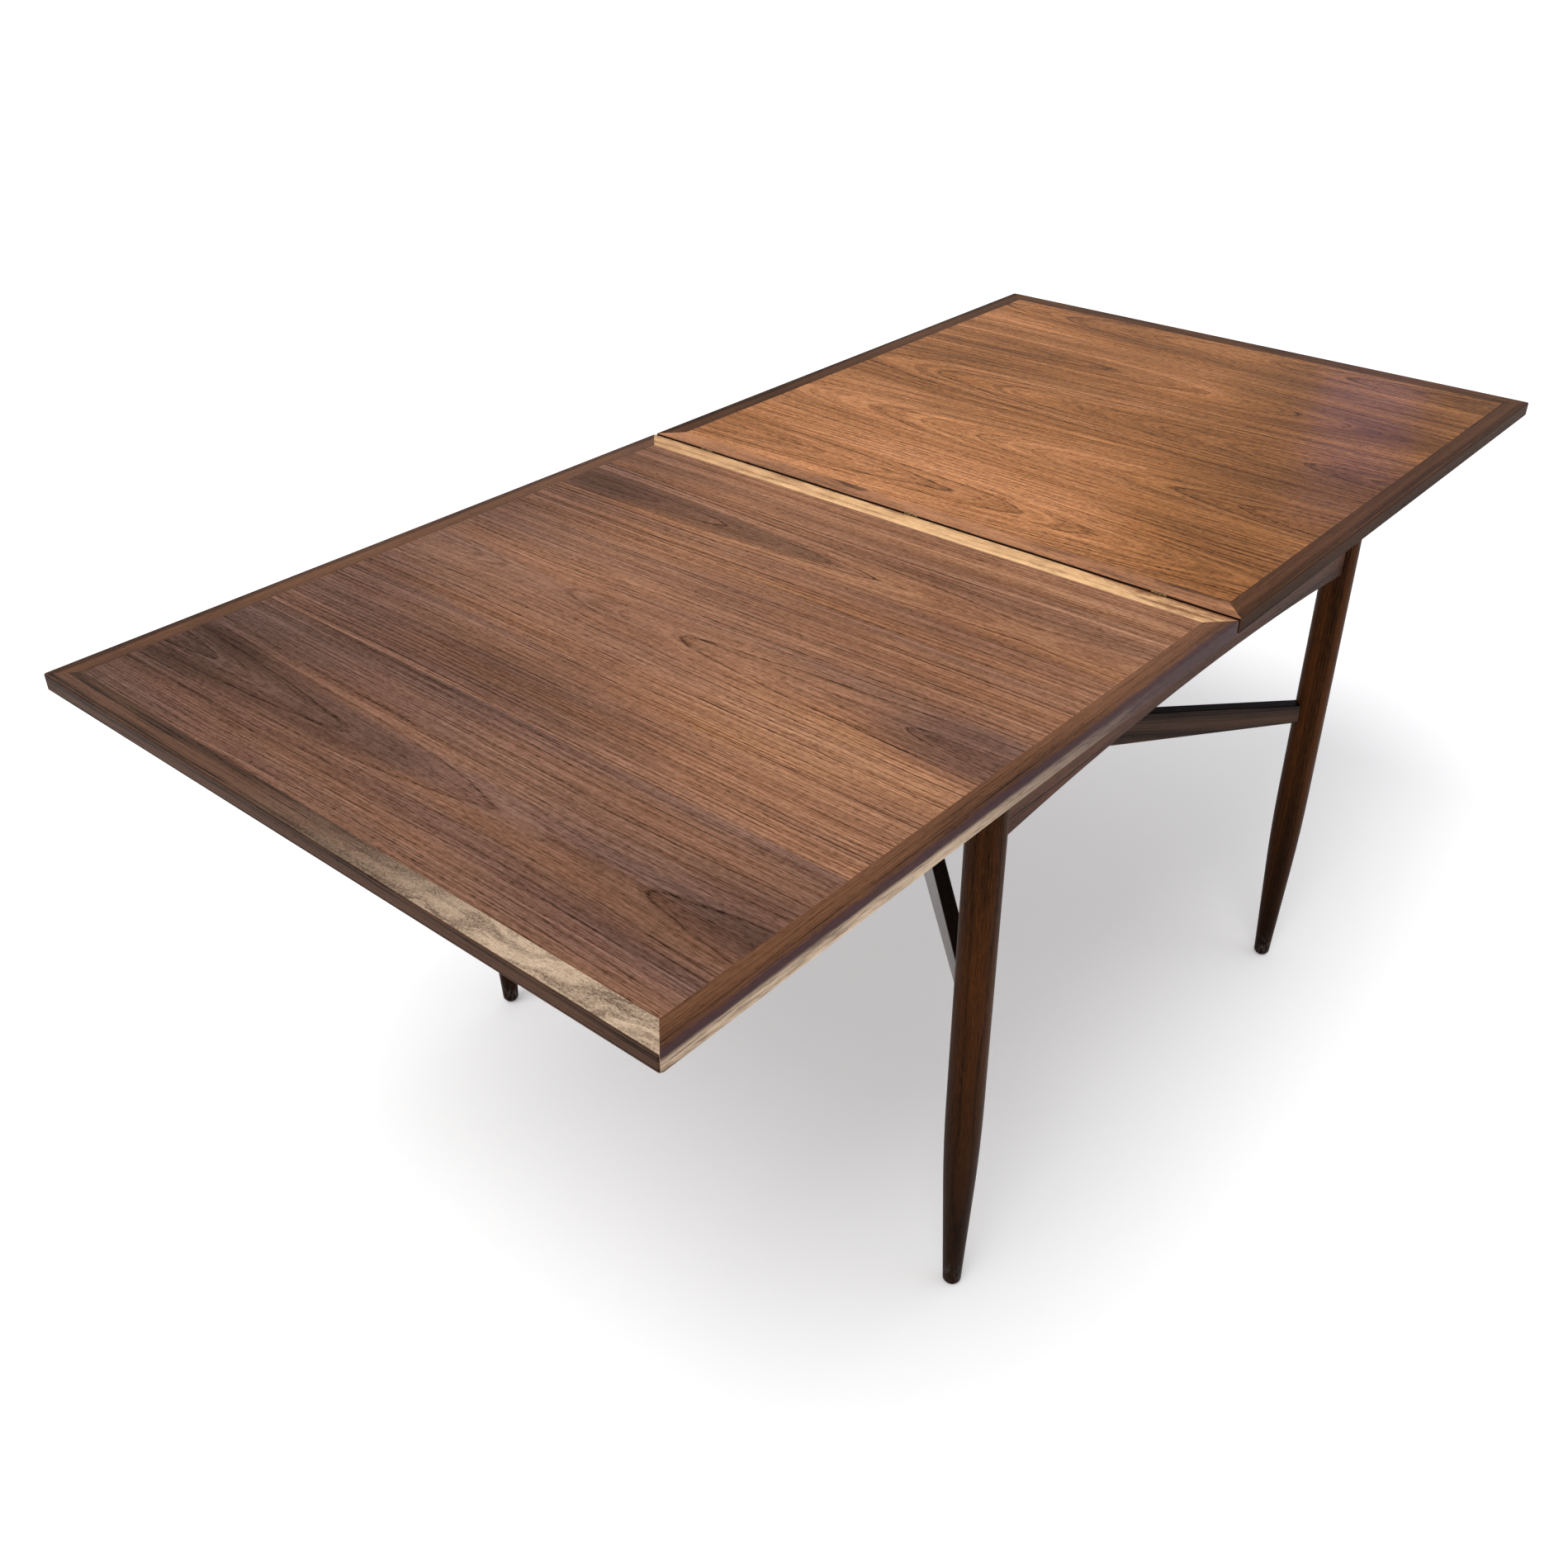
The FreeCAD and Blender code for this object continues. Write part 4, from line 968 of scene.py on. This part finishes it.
class TABLE_OT_screws(bpy.types.Operator):
    """Model the countersunk screws with their slotted heads"""

    bl_idname = "flip_table.screws"
    bl_label = "Screws"

    def model(self, settings, points):
        """One screw as long and wide as a node's first, with its head on the origin."""
        (_, head), (neck, _), (shoulder, shank), (tip, _) = outline(points, screw_direction(points))
        piece = disc(SCREW_SIDES, head)
        pull(neck, shank / head)
        pull(shoulder - neck)
        pull(tip - shoulder, 0.5)
        bpy.ops.mesh.merge(type="CENTER")
        round_levels(piece, [0.0], settings.rim)
        close_up(piece)
        bpy.ops.mesh.primitive_cube_add(size=2.0)
        blade = bpy.context.active_object
        blade.data.transform(Matrix.Diagonal((2 * head, settings.screw_slot / 2, settings.slot_depth, 1.0)))
        cut(piece, blade)
        return piece

    def execute(self, context):
        settings = context.scene.flip_table_fittings
        material = zinc(settings)
        for node, body in (("runner_screws", "sliding_leaf"), ("corner_block_screws", "base"),
                           ("stretcher_lap_screw", "base"), ("flip_leaf_hinge_screws", "flip_leaf"),
                           ("sliding_leaf_hinge_screws", "sliding_leaf")):
            model = self.model(settings, node_solids(node)[0])
            set_in(model, node + "_slotted", node, body, material, screw_direction, SCREW_TURN)
            bpy.data.objects.remove(model)
        return {"FINISHED"}


class TABLE_OT_bolts(bpy.types.Operator):
    """Model the threaded hanger bolts and their nuts"""

    bl_idname = "flip_table.bolts"
    bl_label = "Bolts and nuts"

    def bolt(self, settings, points):
        """A bolt whose far end is threaded."""
        direction = corner_direction(points)
        length = 2 * reach_along(points, direction)
        radius = half_height(points)
        root = 1.0 - settings.thread_depth / radius
        ridges = int(settings.thread_length / settings.thread_pitch)
        piece = disc(BOLT_SIDES, radius)
        pull(length - ridges * settings.thread_pitch)
        for index in range(ridges):
            pull(settings.thread_pitch / 2, root)
            pull(settings.thread_pitch / 2, 1.0 / root if index < ridges - 1 else root)
        close_up(piece)
        return piece

    def nut(self, settings, points, hole):
        """A six-sided nut with chamfered corners."""
        direction = corner_direction(points)
        height = 2 * reach_along(points, direction)
        arms = [point - middle_of(points) for point in points]
        radius = max((arm - direction * arm.dot(direction)).length for arm in arms)
        piece = fresh(bpy.ops.mesh.primitive_cylinder_add, vertices=NUT_SIDES, radius=radius, depth=height,
                      location=(0.0, 0.0, height / 2), rotation=(0.0, 0.0, math.radians(-90.0)))
        bpy.ops.mesh.bevel(offset=settings.nut_corner, segments=2, affect="VERTICES")
        close_up(piece)
        bpy.ops.object.transform_apply(location=True, rotation=True, scale=True)
        bpy.ops.mesh.primitive_cylinder_add(vertices=BOLT_SIDES, radius=hole, depth=3 * height)
        cut(piece, bpy.context.active_object)
        return piece

    def execute(self, context):
        settings = context.scene.flip_table_fittings
        material = zinc(settings)
        first = node_solids("hanger_bolts")[0]
        bolt = self.bolt(settings, first)
        set_in(bolt, "hanger_bolts_threaded", "hanger_bolts", "base", material, corner_direction)
        nut = self.nut(settings, node_solids("hanger_bolt_nuts")[0], half_height(first))
        set_in(nut, "hanger_bolt_nuts_chamfered", "hanger_bolt_nuts", "base", material,
               corner_direction)
        bpy.data.objects.remove(bolt)
        bpy.data.objects.remove(nut)
        return {"FINISHED"}


class TABLE_OT_glides(bpy.types.Operator):
    """Model the rounded glides under the feet"""

    bl_idname = "flip_table.glides"
    bl_label = "Glides"

    def execute(self, context):
        settings = context.scene.flip_table_fittings
        glide = tuple(settings.glide)
        material = metal("Blackened glide", glide, tuple(3.0 * part for part in glide), 0.5, 0.6)
        names = like("foot_glide")
        (floor, flat), (bevel, _), (top, full), (tip, nail) = outline(node_solids(names[0])[0], UP)
        piece = disc(GLIDE_SIDES, flat)
        pull(bevel, full / flat)
        pull(top - bevel)
        bpy.ops.mesh.inset(thickness=full - nail)
        pull(tip - top)
        round_levels(piece, [floor, bevel], 2 * settings.rim, 3)
        close_up(piece)
        for name in names:
            set_in(piece, name + "_rounded", name, "base", material, lambda points: UP)
        bpy.data.objects.remove(piece)
        return {"FINISHED"}


class TABLE_OT_felts(bpy.types.Operator):
    """Model the felt strips on the aprons"""

    bl_idname = "flip_table.felts"
    bl_label = "Felt strips"

    def finish(self, settings):
        """Matted wool."""
        material, shade = new_finish("Wool felt")
        fuzz = shade.grit(1500.0, 4.0)
        tuft = shade.grit(160.0, 2.0)
        felt = tuple(settings.felt)
        wool = shade.ramp(0.5 * fuzz + 0.5 * tuft, [(0.3, tuple(0.6 * part for part in felt)), (0.7, felt)])
        shade.surface(wool, 0.95, fuzz, 0.0006, Sheen_Weight=0.4)
        return material

    def execute(self, context):
        settings = context.scene.flip_table_fittings
        material = self.finish(settings)
        nap = bpy.data.textures.new("Felt nap", "CLOUDS")
        nap.noise_scale = NAP_SIZE
        for name in like("felt_strip"):
            low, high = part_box(name)
            size = high - low
            long = 0 if size.x > size.y else 1
            wide = 1 - long
            piece = fresh(bpy.ops.mesh.primitive_cube_add, size=1.0)
            bpy.ops.transform.resize(value=size)
            bpy.ops.transform.translate(value=(low + high) / 2)
            pick(piece, lambda a, b: abs(a[long] - b[long]) > size.z * 10)
            bpy.ops.mesh.subdivide(number_cuts=int(size[long] / FELT_STEP))
            pick(piece, lambda a, b: min(a.z, b.z) > high.z - HERE and abs(a[wide] - b[wide]) < HERE
                 and min(abs(a[wide] - low[wide]), abs(a[wide] - high[wide])) < HERE)
            bpy.ops.mesh.bevel(offset=settings.felt_round, segments=3, affect="EDGES")
            close_up(piece)
            change = piece.modifiers.new("Nap", "DISPLACE")
            change.texture = nap
            change.texture_coords = "LOCAL"
            change.mid_level = 1.0
            change.strength = settings.felt_nap
            bpy.ops.object.modifier_apply(modifier=change.name)
            piece.name = name + "_felt"
            finish_piece(piece, name, "base", material)
        return {"FINISHED"}


FLOOR_SIZE = 60.0
KEY_ANGLE = math.radians(40.0)
KEY_TILT = math.radians(-28.0)
# Where each lamp stands, what it points at, and its width and height.
SIDE_LIGHT = ((1.6, -3.2, 1.5), (0.0, 0.0, 0.5), (2.4, 2.0))
WINDOW = ((3.43, 0.70, 1.757), (0.66, -0.30, 0.737), (0.30, 0.12))
SENSOR_WIDTH = 36.0


class TABLE_OT_stage(bpy.types.Operator):
    """Lay the pale floor, light the studio and place the camera"""

    bl_idname = "flip_table.stage"
    bl_label = "Stage"

    def floor(self, settings):
        """A wide pale floor under the table."""
        select()
        bpy.ops.mesh.primitive_plane_add(size=FLOOR_SIZE)
        floor = bpy.context.active_object
        floor.name = "studio_floor"
        material, shade = new_finish("Studio floor")
        white = tuple(settings.floor)
        glow = shade.mix(shade.seen(), (0.0, 0.0, 0.0), white)
        shade.surface(white, 0.9, Specular_IOR_Level=0.0, Emission_Color=glow,
                      Emission_Strength=settings.floor_glow)
        cover(floor, material)

    def dome(self, settings):
        """Even white light, which the camera sees as white."""
        world = bpy.data.worlds.new("Studio dome")
        world.use_nodes = True
        shade = Shade(world.node_tree)
        glow = settings.dome + (1.0 - settings.dome) * shade.seen()
        light = shade.node("ShaderNodeBackground", {}, {"Color": (1.0, 1.0, 1.0, 1.0), "Strength": glow})
        shade.node("ShaderNodeOutputWorld", {}, {"Surface": light})
        bpy.context.scene.world = world

    def stand(self, data, place, turn):
        """Put a lamp or the camera in its place."""
        holder = bpy.data.objects.new(data.name, data)
        bpy.context.scene.collection.objects.link(holder)
        holder.location = place
        holder.rotation_euler = turn
        return holder

    def key_light(self, settings):
        """A wide soft light from above the near end."""
        light = bpy.data.lights.new("Key light", "SUN")
        light.energy = settings.key
        light.angle = KEY_ANGLE
        self.stand(light, (0.0, 0.0, 0.0), (0.0, KEY_TILT, 0.0))

    def lamp(self, name, setting, power, colour):
        """A soft rectangular lamp, turned towards its target."""
        place, target, size = setting
        light = bpy.data.lights.new(name, "AREA")
        light.shape = "RECTANGLE"
        light.size, light.size_y = size
        light.energy = power
        light.color = colour
        away = [a - b for a, b in zip(place, target)]
        level = math.hypot(away[0], away[1])
        self.stand(light, place, (math.atan2(level, away[2]), 0.0, math.atan2(away[0], -away[1])))

    def execute(self, context):
        settings = context.scene.flip_table_stage
        self.floor(settings)
        self.dome(settings)
        self.key_light(settings)
        self.lamp("Side light", SIDE_LIGHT, settings.side_power, settings.cool)
        self.lamp("Window", WINDOW, settings.window_power, settings.window)
        camera = bpy.data.cameras.new("Photo camera")
        camera.lens = settings.camera_lens
        camera.sensor_width = SENSOR_WIDTH
        context.scene.camera = self.stand(camera, settings.camera_place, settings.camera_turn)
        context.scene.view_settings.view_transform = "Standard"
        return {"FINISHED"}


class TABLE_PT_panel(bpy.types.Panel):
    """The table's finishes, in the order they are made"""

    bl_idname = "TABLE_PT_panel"
    bl_label = "Flip-top table"
    bl_space_type = "VIEW_3D"
    bl_region_type = "UI"
    bl_category = "Table"

    def draw(self, context):
        for operator in OPERATORS:
            self.layout.operator(operator.bl_idname)
        for name in SETTINGS:
            group = getattr(context.scene, name)
            column = self.layout.column()
            for key in group.bl_rna.properties.keys():
                if key not in ("rna_type", "name"):
                    column.prop(group, key)


OPERATORS = [TABLE_OT_veneers, TABLE_OT_lippings, TABLE_OT_base, TABLE_OT_inner_woods, TABLE_OT_hinges,
             TABLE_OT_screws, TABLE_OT_bolts, TABLE_OT_glides, TABLE_OT_felts, TABLE_OT_stage]
SETTINGS = {
    "flip_table_veneers": VeneerSettings,
    "flip_table_timbers": TimberSettings,
    "flip_table_fittings": FittingSettings,
    "flip_table_stage": StageSettings,
}


def register():
    for kind in [*SETTINGS.values(), *OPERATORS, TABLE_PT_panel]:
        bpy.utils.register_class(kind)
    for name, kind in SETTINGS.items():
        setattr(bpy.types.Scene, name, bpy.props.PointerProperty(type=kind))


def unregister():
    for name in SETTINGS:
        delattr(bpy.types.Scene, name)
    for kind in [TABLE_PT_panel, *reversed(OPERATORS), *SETTINGS.values()]:
        bpy.utils.unregister_class(kind)


def main():
    register()
    bpy.ops.flip_table.veneers()
    bpy.ops.flip_table.lippings()
    bpy.ops.flip_table.base()
    bpy.ops.flip_table.inner_woods()
    bpy.ops.flip_table.hinges()
    bpy.ops.flip_table.screws()
    bpy.ops.flip_table.bolts()
    bpy.ops.flip_table.glides()
    bpy.ops.flip_table.felts()
    bpy.ops.flip_table.stage()


if __name__ == "__main__":
    main()
